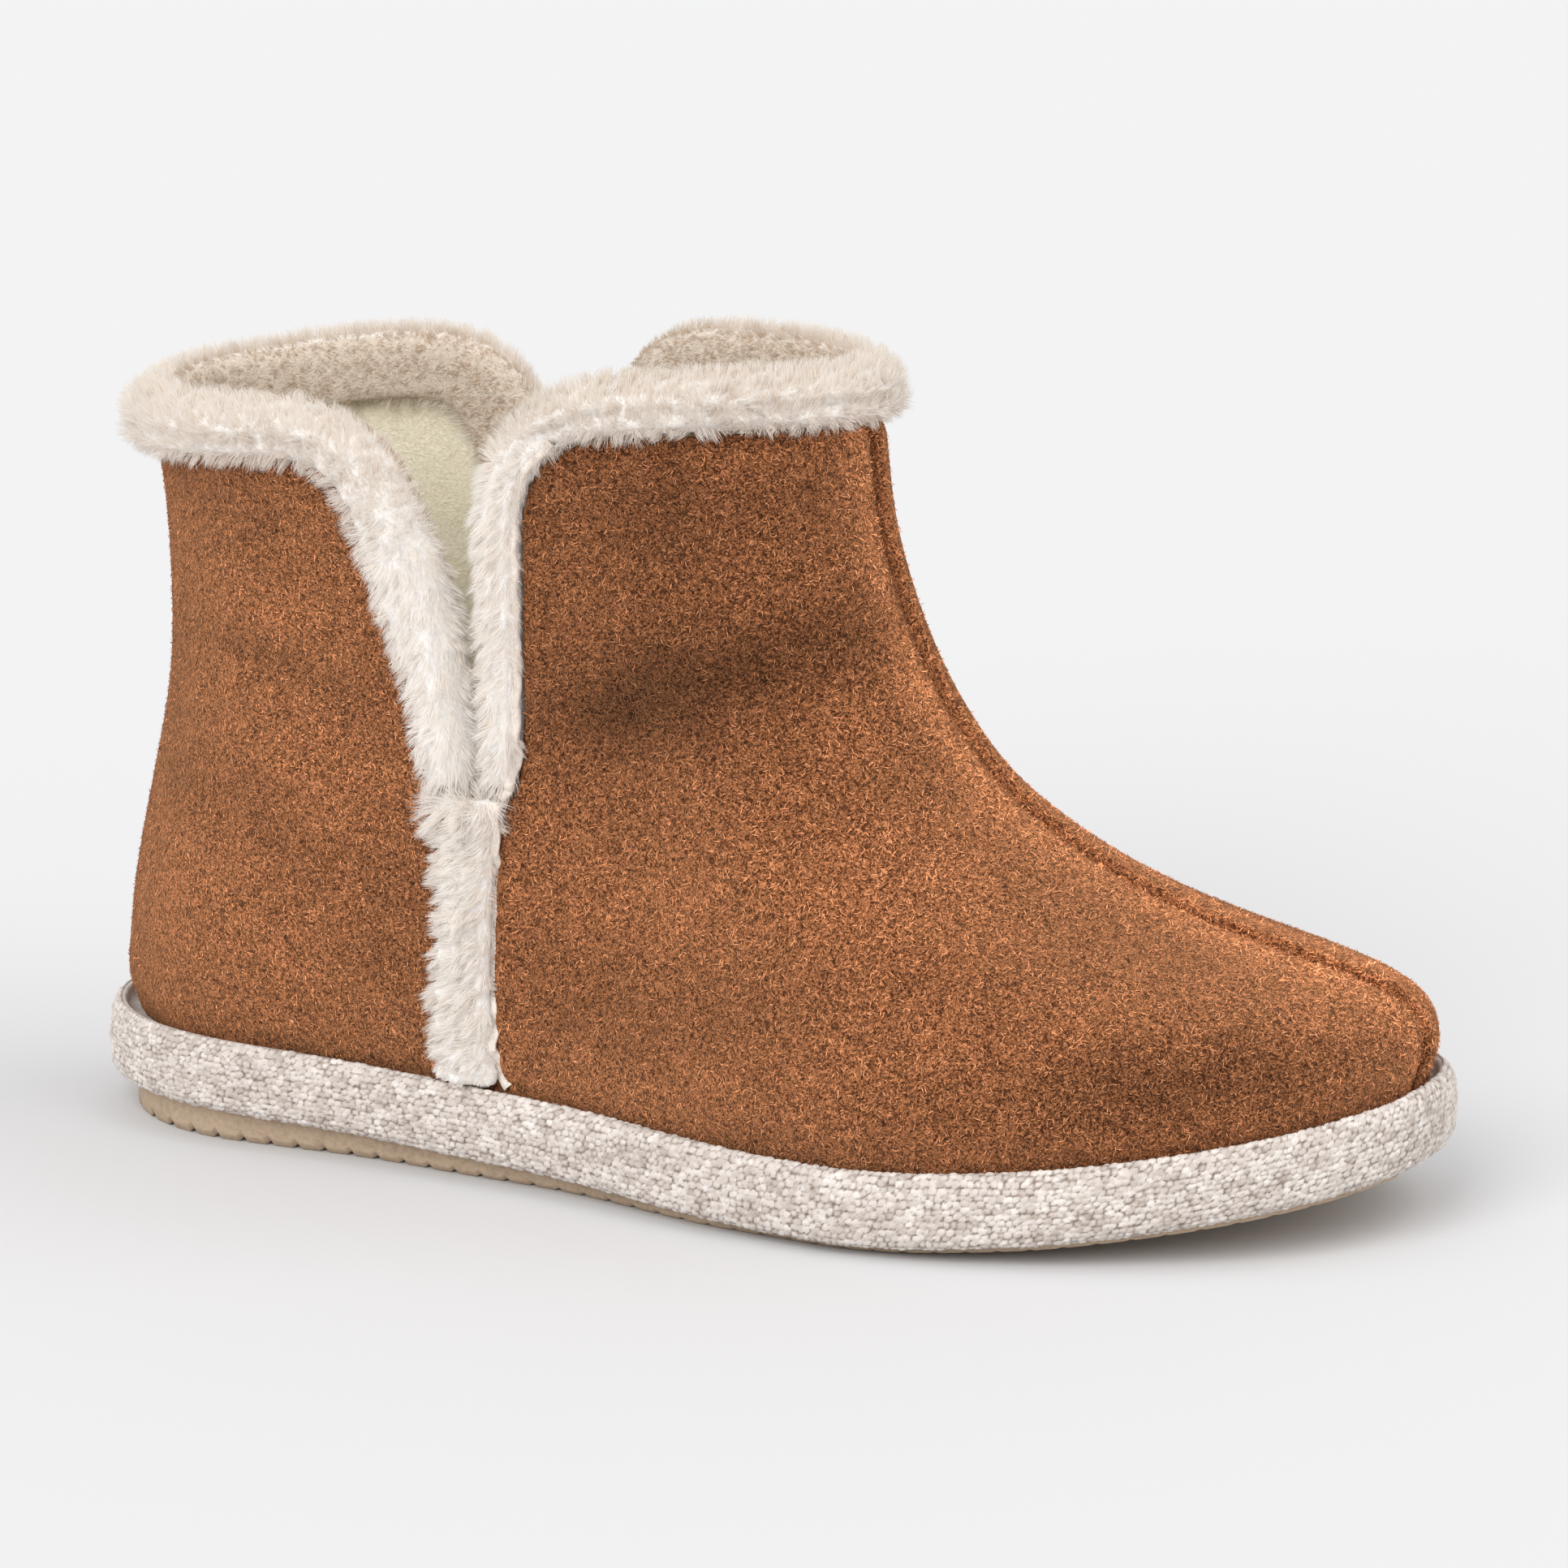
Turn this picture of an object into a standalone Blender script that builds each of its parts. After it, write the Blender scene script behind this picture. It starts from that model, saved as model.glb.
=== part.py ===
# Bootie slipper, right shoe: suede bootie with fur trim on a cloth wrapped platform and a rubber outsole.
# Metres, +Z up, toe towards +X, outer (lateral) side towards -Y, floor at z = 0.
import math

import bmesh
import bpy
import numpy as np

for old in list(bpy.data.objects):
    bpy.data.objects.remove(old, do_unlink=True)

# Driving dimensions: plan of the sole
SOLE_LENGTH = 0.256
HEEL_WIDTH = 0.066
BALL_WIDTH = 0.096
TOE_SWING = 0.0105
HEEL_ROUND = 0.036
TOE_ROUND = 0.066

# Driving dimensions: sole stack
TOE_SPRING = 0.0123
SPRING_POWER = 1.8
OUTSOLE_HEEL = 0.0068
OUTSOLE_BALL = 0.0013
OUTSOLE_INSET = 0.0048
OUTSOLE_CORNER = 0.0011
OUTSOLE_LEAST_CORNER = 0.00035
HEEL_BEVEL = 0.0045
RIB_PITCH = 0.0055
RIB_GROOVE = 0.0019
RIB_DEPTH = 0.0011
PAD_WIDTH = 0.026
PAD_LENGTH = 0.030
PAD_STATIONS = (0.16, 0.56)
MIDSOLE_HEIGHT = 0.0137
LIP_ROLL = 0.0024
SEAT_DEPTH = 0.003
SEAT_ROUND = 0.00105
INSOLE_THICKNESS = 0.0042
INSOLE_ROUND = 0.00126
INSOLE_PLAY = 0.0016
SEAT_PLAY = 0.0009

# Driving dimensions: upper
UPPER_INSET = 0.004
WALL = 0.003
COLLAR_BACK = 0.1272
COLLAR_FRONT = 0.1398
COLLAR_MEDIAL_LIFT = 0.0026
SLIT_BOTTOM = 0.0715
BACK_CORNER = 0.009
FRONT_CORNER = 0.011
STRIP_RECESS = 0.001
STRIP_STEP = 0.0006
SEAM_WIDTH = 0.0046
SEAM_SHOULDER = 0.0008
SEAM_RISE = 0.0008

# Driving dimensions: fur
FUR_HEIGHT = 0.0108
BACK_FUR_RISE = 0.0034
FRONT_FUR_RISE = 0.0021
FUR_LINING = 0.0030
FUR_FOLD = 0.0020
FOLD_PLAY = 0.0009
STRIP_RISE = 0.0026
LOCK_LENGTH = 0.0022
LOCK_TAPER = 0.35
LOCK_SPREAD = 0.25
LOCK_TURN = 2.4

# Gap between pieces that touch in the real shoe
GAP = 0.0003

# Exponents of the rounded ends
HEEL_POWER = 2.0
TOE_POWER = 2.15

# Stations along the sole, as shares of its length
HEEL_END = 0.20
WEDGE_START = 0.10
SWING_START = 0.50
FOREFOOT_START = 0.55
BALL_STATION = 0.62
SLIT_STATION = 0.335

# Where the collar starts and ends to rise, and the medial quarter's lift starts, is full, drops and ends
COLLAR_RISE = (0.06, 0.56)
MEDIAL_LIFT_GROWS = (0.04, 0.18)
MEDIAL_LIFT_FADES = (0.30, 0.46)

# Where the ankle's width gives way to the forefoot's along the sole, and the sole's to the ankle's up the wall
ANKLE_TO_FOREFOOT = (0.30, 0.62)
SOLE_TO_ANKLE = (0.0, 0.30)

# Shares of the upper's height between which the front seam rises out of the wall
SEAM_STARTS = (0.026, 0.066)

# Half widths of the sole, as shares of the heel width at the back and of the ball width further forward
SOLE_COLUMNS = ("station", "lateral", "medial")
SOLE_TABLE = (
    (0.00, 0.500, 0.510),
    (0.15, 0.505, 0.508),
    (0.30, 0.480, 0.445),
    (0.42, 0.439, 0.363),
    (0.55, 0.478, 0.380),
    (0.66, 0.508, 0.458),
    (0.75, 0.482, 0.503),
    (0.85, 0.440, 0.516),
    (1.00, 0.415, 0.500),
)

# Side profile of the wrapped platform: inset in lip rolls, height in platform heights
WRAP_COLUMNS = ("inset", "height")
WRAP_TABLE = (
    (2.10, 0.00),
    (0.60, 0.01),
    (0.05, 0.11),
    (0.00, 0.45),
    (0.10, 0.80),
    (0.55, 0.95),
    (1.10, 1.00),
)

# Level sections of the upper from feather line (0) to collar (1). Front, back and round are shares of the
# sole length, ankle is a share of the heel width, follow is a share of the sole's own half width, and nose is
# the exponent of the front end, lower where the quarters meet in a keel.
UPPER_COLUMNS = ("height", "back", "front", "ankle", "follow", "tuck", "round", "nose")
UPPER_TABLE = (
    (0.000, 0.0156, 0.9844, 0.470, 1.000, 1.00, 0.2422, 2.15),
    (0.026, 0.0156, 0.9844, 0.470, 1.000, 1.00, 0.2422, 2.15),
    (0.055, 0.0082, 0.9907, 0.478, 1.005, 0.75, 0.2350, 2.00),
    (0.090, 0.0085, 0.9929, 0.483, 0.995, 0.70, 0.2265, 1.85),
    (0.140, 0.0114, 0.9894, 0.483, 0.945, 0.70, 0.2192, 1.75),
    (0.190, 0.0131, 0.9652, 0.482, 0.885, 0.70, 0.2162, 1.70),
    (0.250, 0.0174, 0.9028, 0.478, 0.830, 0.70, 0.2138, 1.70),
    (0.310, 0.0221, 0.8322, 0.474, 0.780, 0.70, 0.2112, 1.70),
    (0.390, 0.0298, 0.7594, 0.467, 0.715, 0.70, 0.2047, 1.70),
    (0.480, 0.0383, 0.6996, 0.460, 0.675, 0.70, 0.1971, 1.70),
    (0.600, 0.0484, 0.6516, 0.455, 0.650, 0.70, 0.1882, 1.75),
    (0.730, 0.0514, 0.6204, 0.458, 0.630, 0.70, 0.1836, 1.85),
    (0.860, 0.0502, 0.6011, 0.464, 0.620, 0.70, 0.1797, 1.95),
    (1.000, 0.0438, 0.5936, 0.470, 0.610, 0.70, 0.1797, 2.00),
)

# Edges of the suede beside each slit and its strip, as shares of the sole length
SLIT_COLUMNS = ("height", "back", "front")
SLIT_TABLE = (
    (0.000, 0.3095, 0.3730),
    (0.060, 0.3090, 0.3600),
    (0.240, 0.3125, 0.3555),
    (0.360, 0.3095, 0.3555),
    (0.460, 0.3020, 0.3650),
    (0.510, 0.2975, 0.3695),
    (0.620, 0.2885, 0.3725),
    (0.740, 0.2715, 0.3730),
    (0.860, 0.2510, 0.3735),
    (1.000, 0.2330, 0.3745),
)

# Share of the open slit that each fur band covers, from the slit's bottom (0) to the collar (1)
BAND_COLUMNS = ("height", "back", "front")
BAND_TABLE = (
    (0.00, 0.560, 0.400),
    (0.08, 0.590, 0.365),
    (0.29, 0.530, 0.370),
    (0.51, 0.520, 0.305),
    (0.70, 0.445, 0.280),
    (0.87, 0.365, 0.260),
    (1.00, 0.300, 0.240),
)

# Section of a rolled fur band round its suede edge: out as a share of the rise (positive, outside the wall)
# or of the lining's thickness (negative, inside the wall), up as a share of height (positive) or fold (negative)
ROLL_COLUMNS = ("out", "up")
ROLL_TABLE = (
    (0.15, 0.03),
    (0.75, 0.12),
    (1.00, 0.42),
    (0.80, 0.74),
    (0.10, 0.95),
)
ROLL_INSIDE = (
    (0.20, 1.00),
    (0.90, 0.80),
    (1.00, 0.40),
    (0.95, -0.30),
    (0.75, -0.90),
    (0.15, -1.00),
)

# Section of an upright strip from its back edge to its front edge
STRIP_COLUMNS = ("across", "rise")
STRIP_TABLE = (
    (0.00, 0.00),
    (0.04, 0.60),
    (0.25, 1.00),
    (0.60, 1.00),
    (0.90, 0.80),
    (1.00, 0.40),
    (1.00, 0.00),
)

# Mesh density
SOLE_POINTS = 64
BACK_COLUMNS = 4
FRONT_COLUMNS = 10
LOW_ROWS = (0.0, 0.056, 0.12, 0.20, 0.30, 0.41, 0.53, 0.66, 0.82, 1.0)
HIGH_ROWS = (0.12, 0.27, 0.42, 0.57, 0.71, 0.83, 0.92, 1.0)
CORNER_SHARES = (0.0, 0.12, 0.45, 1.0)

# Steps round and up the upper between which its slope is taken
ANGLE_STEP = 0.03
SHARE_STEP = 0.01


def named_columns(names, rows):
    """Columns of a table by name."""
    return {name: np.array([row[place] for row in rows]) for place, name in enumerate(names)}


SOLE = named_columns(SOLE_COLUMNS, SOLE_TABLE)
WRAP = named_columns(WRAP_COLUMNS, WRAP_TABLE)
UPPER = named_columns(UPPER_COLUMNS, UPPER_TABLE)
SLIT = named_columns(SLIT_COLUMNS, SLIT_TABLE)
BAND = named_columns(BAND_COLUMNS, BAND_TABLE)
ROLL = named_columns(ROLL_COLUMNS, ROLL_TABLE)
FOLDED = named_columns(ROLL_COLUMNS, ROLL_INSIDE)
STRIP = named_columns(STRIP_COLUMNS, STRIP_TABLE)


def smooth_through(stations, values, at):
    """Smooth curve through the rows of a table, with no overshoot between them."""
    spans = np.diff(stations)
    slopes = np.diff(values) / spans
    tangents = np.zeros(len(values))
    tangents[0] = slopes[0]
    tangents[-1] = slopes[-1]
    for row in range(1, len(values) - 1):
        before, after = slopes[row - 1], slopes[row]
        if before * after > 0:
            tangents[row] = 2 * before * after / (before + after)
    at = min(max(at, stations[0]), stations[-1])
    row = min(max(int(np.searchsorted(stations, at)) - 1, 0), len(spans) - 1)
    part = (at - stations[row]) / spans[row]
    rise = values[row + 1] - values[row]
    start = tangents[row] * spans[row]
    finish = tangents[row + 1] * spans[row]
    return (values[row] + start * part + (3 * rise - 2 * start - finish) * part ** 2
            + (start + finish - 2 * rise) * part ** 3)


def ease(share):
    """Soft step from 0 to 1."""
    share = min(max(share, 0.0), 1.0)
    return share * share * (3 - 2 * share)


def step_between(limits, at):
    """Soft step from 0 at the first limit to 1 at the second."""
    return ease((at - limits[0]) / (limits[1] - limits[0]))


def blend(low, high, share):
    return low + (high - low) * share


def half_width(x, side):
    """Half width of the sole at x, on the lateral side (-1) or the medial side (+1)."""
    share = x / SOLE_LENGTH
    base = blend(HEEL_WIDTH, BALL_WIDTH, step_between((HEEL_END, FOREFOOT_START), share))
    name = "medial" if side > 0 else "lateral"
    return base * smooth_through(SOLE["station"], SOLE[name], share)


def spine(x):
    """Centre line of the last, swinging to the medial side at the toe."""
    return TOE_SWING * max(0.0, (x / SOLE_LENGTH - SWING_START) / (1 - SWING_START)) ** 2


def end_rounding(x, back, front, heel_round, toe_round, toe_power=TOE_POWER):
    """Share of the full width left at x by the rounded heel and toe."""
    share = 1.0
    heel = 1 - (x - back) / heel_round
    if heel > 0:
        share *= max(0.0, 1 - min(heel, 1.0) ** HEEL_POWER) ** (1 / HEEL_POWER)
    toe = 1 - (front - x) / toe_round
    if toe > 0:
        share *= max(0.0, 1 - min(toe, 1.0) ** toe_power) ** (1 / toe_power)
    return share


def sole_y(x, side, inset):
    """Edge of the sole's outline at x, moved in by the inset."""
    rounding = end_rounding(x, inset, SOLE_LENGTH - inset, HEEL_ROUND - inset, TOE_ROUND - inset)
    return spine(x) + side * (half_width(x, side) - inset) * rounding


def floor_line(x):
    """Underside of the outsole: flat to the ball, then rising with the toe spring."""
    return TOE_SPRING * max(0.0, (x / SOLE_LENGTH - BALL_STATION) / (1 - BALL_STATION)) ** SPRING_POWER


def outsole_top(x):
    share = min(max((x / SOLE_LENGTH - WEDGE_START) / (BALL_STATION - WEDGE_START), 0.0), 1.0)
    return floor_line(x) + blend(OUTSOLE_HEEL, OUTSOLE_BALL, share)


def platform_bottom(x):
    return outsole_top(x) + GAP


def platform_top(x):
    return platform_bottom(x) + MIDSOLE_HEIGHT


def seat_level(x):
    return platform_top(x) - SEAT_DEPTH


def placed(point):
    """Shoe coordinates (heel at x = 0) to the part's frame, centred over the floor."""
    return (point[0] - SOLE_LENGTH / 2, point[1] - CENTRE_Y, point[2])


def widest(side):
    stations = np.linspace(0, SOLE_LENGTH, 257)
    return max(side * sole_y(x, side, 0.0) for x in stations)


CENTRE_Y = (widest(1) - widest(-1)) / 2


def material(name, colour, roughness):
    made = bpy.data.materials.new(name)
    made.use_nodes = True
    shader = made.node_tree.nodes["Principled BSDF"]
    shader.inputs["Base Color"].default_value = (*colour, 1)
    shader.inputs["Roughness"].default_value = roughness
    shader.inputs["Metallic"].default_value = 0.0
    return made


def add_body(name, points, faces, look, sharp=35):
    """Closed body from points in shoe coordinates, facing outwards and shaded smooth."""
    mesh = bpy.data.meshes.new(name)
    body = bmesh.new()
    corners = [body.verts.new(placed(point)) for point in points]
    for face in faces:
        body.faces.new([corners[index] for index in face])
    loose = [corner for corner in body.verts if not corner.link_faces]
    bmesh.ops.delete(body, geom=loose, context="VERTS")
    bmesh.ops.recalc_face_normals(body, faces=body.faces[:])
    body.to_mesh(mesh)
    body.free()
    mesh.shade_smooth()
    mesh.set_sharp_from_angle(angle=math.radians(sharp))
    made = bpy.data.objects.new(name, mesh)
    bpy.context.scene.collection.objects.link(made)
    made.data.materials.append(look)
    return made


def ring_faces(first, second, count):
    """Quads between two closed rings of equal count."""
    return [(first + k, first + (k + 1) % count, second + (k + 1) % count, second + k) for k in range(count)]


def cap_faces(start, count):
    """Cap across a ring whose points k and count - k face each other."""
    half = count // 2
    faces = [(start, start + 1, start + count - 1)]
    for k in range(1, half - 1):
        faces.append((start + k, start + k + 1, start + count - k - 1, start + count - k))
    faces.append((start + half - 1, start + half, start + half + 1))
    return faces


def outline_ring(inset, level):
    """Sole outline moved in by an inset, each point at its own level."""
    back = inset
    front = SOLE_LENGTH - inset
    ring = []
    for k in range(SOLE_POINTS):
        angle = 2 * math.pi * k / SOLE_POINTS
        x = (back + front) / 2 + (front - back) / 2 * math.cos(angle)
        side = 1 if math.sin(angle) > 0 else -1
        y = spine(x) if k % (SOLE_POINTS // 2) == 0 else sole_y(x, side, inset)
        ring.append((x, y, level(x)))
    return ring


def stacked_body(name, rings, look, sharp=35):
    """Closed body skinned over a stack of outline rings."""
    points = [point for ring in rings for point in ring]
    faces = cap_faces(0, SOLE_POINTS)
    for row in range(len(rings) - 1):
        faces += ring_faces(row * SOLE_POINTS, (row + 1) * SOLE_POINTS, SOLE_POINTS)
    faces += cap_faces((len(rings) - 1) * SOLE_POINTS, SOLE_POINTS)
    return add_body(name, points, faces, look, sharp)


def rib_stations(back, front):
    """Stations along the outsole: two on each rib's crest and one in each groove, with their groove shares."""
    ribs = round((front - back) / RIB_PITCH)
    pitch = (front - back) / ribs
    stations = []
    for rib in range(ribs):
        start = back + rib * pitch
        stations.append((start + RIB_GROOVE / 2, 0.0))
        stations.append((start + pitch - RIB_GROOVE / 2, 0.0))
        if rib < ribs - 1:
            stations.append((start + pitch, 1.0))
    return stations


def build_outsole(look):
    """Rubber outsole: ladder of cross sections, with ribs at the edges and plain pads at heel and ball."""
    back = OUTSOLE_INSET
    front = SOLE_LENGTH - OUTSOLE_INSET
    sections = []
    for x, groove in rib_stations(back, front):
        bevel = 0.0
        if x < back + HEEL_BEVEL:
            bevel = HEEL_BEVEL - math.sqrt(HEEL_BEVEL ** 2 - (back + HEEL_BEVEL - x) ** 2)
        pad = min(abs(x - station * SOLE_LENGTH) for station in PAD_STATIONS) < PAD_LENGTH / 2
        thickness = outsole_top(x) - floor_line(x)
        corner = OUTSOLE_CORNER * thickness / OUTSOLE_HEEL + OUTSOLE_LEAST_CORNER
        low = floor_line(x) + bevel * thickness / OUTSOLE_HEEL
        cut = low + groove * RIB_DEPTH * thickness / OUTSOLE_HEEL
        centre = low if pad else cut
        section = []
        for side in (-1, 1):
            edge = sole_y(x, side, OUTSOLE_INSET)
            flat = spine(x) + (edge - spine(x)) * (1 - corner / half_width(x, side))
            pad_edge = spine(x) + (edge - spine(x)) * PAD_WIDTH / (2 * half_width(x, side))
            points = [(x, edge, outsole_top(x)), (x, edge, cut + corner), (x, flat, cut), (x, pad_edge, centre)]
            section += points if side < 0 else points[::-1]
        sections.append(section)
    count = len(sections[0])
    first = (back, spine(back), outsole_top(back))
    last = (front, spine(front), outsole_top(front))
    points = [first] + [point for section in sections for point in section] + [last]
    faces = [(0, 1 + k, 1 + (k + 1) % count) for k in range(count)]
    for row in range(len(sections) - 1):
        faces += ring_faces(1 + row * count, 1 + (row + 1) * count, count)
    start = 1 + (len(sections) - 1) * count
    faces += [(len(points) - 1, start + (k + 1) % count, start + k) for k in range(count)]
    return add_body("outsole", points, faces, look, sharp=25)


def build_midsole(look):
    """Wrapped platform: bulging side, rolled edges and the seat for the upper."""
    rings = []
    for inset, height in zip(WRAP["inset"], WRAP["height"]):
        rings.append(outline_ring(inset * LIP_ROLL, lambda x, h=height: platform_bottom(x) + h * MIDSOLE_HEIGHT))
    wall = UPPER_INSET - SEAT_PLAY
    rings.append(outline_ring(wall, lambda x: platform_top(x) - SEAT_ROUND))
    rings.append(outline_ring(wall, seat_level))
    return stacked_body("midsole", rings, look)


def build_insole(look):
    """Padded footbed that stands in the seat, inside the upper."""
    edge = UPPER_INSET + WALL + INSOLE_PLAY
    rings = [
        outline_ring(edge, lambda x: seat_level(x) + GAP),
        outline_ring(edge, lambda x: seat_level(x) + GAP + INSOLE_THICKNESS - INSOLE_ROUND),
        outline_ring(edge + INSOLE_ROUND, lambda x: seat_level(x) + GAP + INSOLE_THICKNESS),
    ]
    return stacked_body("insole", rings, look)


def collar_line(x, side):
    """Height of the suede's top edge, rising from back to front and a little higher on the medial quarter."""
    station = x / SOLE_LENGTH
    line = blend(COLLAR_BACK, COLLAR_FRONT, step_between(COLLAR_RISE, station))
    if side > 0:
        grown = step_between(MEDIAL_LIFT_GROWS, station)
        line += COLLAR_MEDIAL_LIFT * grown * (1 - step_between(MEDIAL_LIFT_FADES, station))
    return line


def upper_base(x):
    return seat_level(x) + GAP


def height_share(x, level):
    """Share of the upper's height at a level over the floor."""
    return (level - upper_base(x)) / (collar_line(x, -1) - upper_base(x))


def at_height(column, share):
    return smooth_through(UPPER["height"], UPPER[column], share)


def upper_ends(share):
    """Back and front x of the level section at a share of the upper's height."""
    return at_height("back", share) * SOLE_LENGTH, at_height("front", share) * SOLE_LENGTH


def upper_half_width(x, side, share):
    """Half width of a level section: the sole's outline low down, the ankle's width higher up at the back."""
    tuck = at_height("tuck", share) * UPPER_INSET
    sole = half_width(x, side) - tuck
    back = blend(sole, at_height("ankle", share) * HEEL_WIDTH, step_between(SOLE_TO_ANKLE, share))
    front = at_height("follow", share) * sole
    return blend(back, front, step_between(ANKLE_TO_FOREFOOT, x / SOLE_LENGTH))


def outer_point(angle, share):
    """Outer face of the upper. The angle is 0 at the front seam, +-pi at the back, positive on the medial side."""
    back, front = upper_ends(share)
    x = (back + front) / 2 + (front - back) / 2 * math.cos(angle)
    side = 1 if math.sin(angle) > 0 else -1
    heel_round = HEEL_ROUND - UPPER_INSET
    toe_round = at_height("round", share) * SOLE_LENGTH
    rounding = end_rounding(x, back, front, heel_round, toe_round, at_height("nose", share))
    y = spine(x) + side * upper_half_width(x, side, share) * rounding
    z = blend(upper_base(x), collar_line(x, side), share)
    return np.array((x, y, z))


def outward(angle, share):
    """Unit normal of the outer face, level at the feather line."""
    low = max(share - SHARE_STEP, 0.0)
    high = min(share + SHARE_STEP, 1.0)
    along = outer_point(angle + ANGLE_STEP, share) - outer_point(angle - ANGLE_STEP, share)
    rise = outer_point(angle, high) - outer_point(angle, low)
    normal = np.cross(along, rise)
    if share == 0.0:
        normal[2] = 0.0
    return normal / np.linalg.norm(normal)


def angle_at(x, share):
    """Angle whose point of the level section has this x."""
    back, front = upper_ends(share)
    return math.acos(min(max((2 * x - back - front) / (front - back), -1.0), 1.0))


def seam_angle(offset, share):
    """Angle of a point this far beside the front seam's centre line."""
    back, front = upper_ends(share)
    toe_round = at_height("round", share) * SOLE_LENGTH
    width = upper_half_width(front, -1, share)
    power = at_height("nose", share)
    x = front - toe_round * (1 - (1 - (offset / width) ** power) ** (1 / power))
    return angle_at(x, share)


def seam_lift(share):
    """Rise of the front seam, which starts above the seat."""
    return SEAM_RISE * step_between(SEAM_STARTS, share)


def slit_edges(share):
    back = smooth_through(SLIT["height"], SLIT["back"], share) * SOLE_LENGTH
    front = smooth_through(SLIT["height"], SLIT["front"], share) * SOLE_LENGTH
    return back, front


def slit_share():
    """Share of the upper's height at the bottom of the slits."""
    return height_share(SLIT_STATION * SOLE_LENGTH, SLIT_BOTTOM)


def dropped(share, drop):
    """Share of height in a column whose top is cut down by a rounded corner."""
    bottom = slit_share()
    if share <= bottom:
        return share
    top = 1 - drop / (COLLAR_BACK - SLIT_BOTTOM) * (1 - bottom)
    return blend(bottom, top, (share - bottom) / (1 - bottom))


def corner_column(share, part, place):
    """Column beside a slit's edge, part of a corner radius away from it: (angle, its own height, raise)."""
    radius = BACK_CORNER if place == "back" else FRONT_CORNER
    drop = radius * (1 - math.sqrt(1 - (1 - part) ** 2))
    height = dropped(share, drop)
    edge_back, edge_front = slit_edges(height)
    x = edge_back - part * radius if place == "back" else edge_front + part * radius
    return angle_at(x, height), height, 0.0


def half_columns(share):
    """Columns of one side in a row, from the back (angle pi) to the front seam: (angle, height, raise)."""
    slit_back, slit_front = slit_edges(share)
    corners = [corner_column(share, part, "back") for part in CORNER_SHARES[::-1]]
    columns = []
    for k in range(BACK_COLUMNS):
        columns.append((blend(math.pi, corners[0][0], k / BACK_COLUMNS), share, 0.0))
    columns += corners
    for x in (slit_back + STRIP_STEP, (slit_back + slit_front) / 2, slit_front - STRIP_STEP):
        columns.append((angle_at(x, share), share, -STRIP_RECESS))
    corners = [corner_column(share, part, "front") for part in CORNER_SHARES]
    columns += corners
    shoulder = seam_angle(SEAM_WIDTH / 2 + SEAM_SHOULDER, share)
    for k in range(1, FRONT_COLUMNS + 1):
        columns.append((blend(corners[-1][0], shoulder, k / FRONT_COLUMNS), share, 0.0))
    columns.append((seam_angle(SEAM_WIDTH / 2, share), share, seam_lift(share)))
    return columns


# Places of the slit's two edges among one side's columns, with the channel's columns between them
CHANNEL_COLUMNS = 3
BACK_EDGE = BACK_COLUMNS + len(CORNER_SHARES) - 1
FRONT_EDGE = BACK_EDGE + CHANNEL_COLUMNS + 1


def row_shares():
    bottom = slit_share()
    return [bottom * row for row in LOW_ROWS] + [blend(bottom, 1.0, row) for row in HIGH_ROWS]


def upper_grid():
    """Outer and inner points of the upper, row by row, once round from the back over lateral, toe and medial."""
    outer = []
    inner = []
    for share in row_shares():
        columns = half_columns(share)
        lateral = [(-angle, height, rise) for angle, height, rise in columns]
        centre = [(0.0, share, seam_lift(share))]
        ordered = lateral + centre + columns[:0:-1]
        outer.append([outer_point(angle, height) + outward(angle, height) * rise
                      for angle, height, rise in ordered])
        inner.append([outer_point(angle, height) - outward(angle, height) * WALL
                      for angle, height, rise in ordered])
    return outer, inner


def build_upper(look):
    """One hollow wall: outer and inner face, joined along every open edge."""
    outer, inner = upper_grid()
    rows = len(outer)
    count = len(outer[0])
    slit_row = len(LOW_ROWS) - 1
    lateral_slit = set(range(BACK_EDGE, FRONT_EDGE))
    medial_slit = set(count - place - 1 for place in lateral_slit)
    outer_faces = []
    for row in range(rows - 1):
        for place in range(count):
            if row >= slit_row and place in lateral_slit | medial_slit:
                continue
            beside = (place + 1) % count
            outer_faces.append((row * count + place, row * count + beside,
                                (row + 1) * count + beside, (row + 1) * count + place))
    edges = {}
    for face in outer_faces:
        for k in range(4):
            edge = (face[k], face[(k + 1) % 4])
            edges[edge] = edges.get(edge, 0) + 1
    total = rows * count
    faces = list(outer_faces)
    faces += [tuple(index + total for index in face[::-1]) for face in outer_faces]
    for first, second in edges:
        if (second, first) not in edges:
            faces.append((second, first, first + total, second + total))
    points = [point for grid in (outer, inner) for row in grid for point in row]
    return add_body("upper", points, faces, look)


def band_width(share, place):
    """Width of a fur band on the slit's edge at a height."""
    bottom = slit_share()
    part = (share - bottom) / (1 - bottom)
    slit_back, slit_front = slit_edges(share)
    return smooth_through(BAND["height"], BAND[place], part) * (slit_front - slit_back)


def band_path(place):
    """Stations of a fur band along the suede's edge: (angle, height, width of the band)."""
    edge = BACK_EDGE if place == "back" else FRONT_EDGE
    start = height_share(SLIT_STATION * SOLE_LENGTH, SLIT_BOTTOM + GAP)
    half = []
    for share in [start] + row_shares()[len(LOW_ROWS):]:
        angle, height, rise = half_columns(share)[edge]
        half.append((angle, height, band_width(height, place)))
    full = half[-1][2]
    top = half_columns(1.0)
    beyond = top[edge - 1::-1] if place == "back" else top[edge + 1:]
    for number, (angle, height, rise) in enumerate(beyond, start=1):
        part = CORNER_SHARES[number] if number < len(CORNER_SHARES) else 1.0
        half.append((angle, height, blend(full, FUR_HEIGHT, ease(part))))
    centre = [half.pop()] if place == "back" else [(0.0, 1.0, FUR_HEIGHT)]
    return [(-angle, height, width) for angle, height, width in half] + centre + half[::-1]


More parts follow.
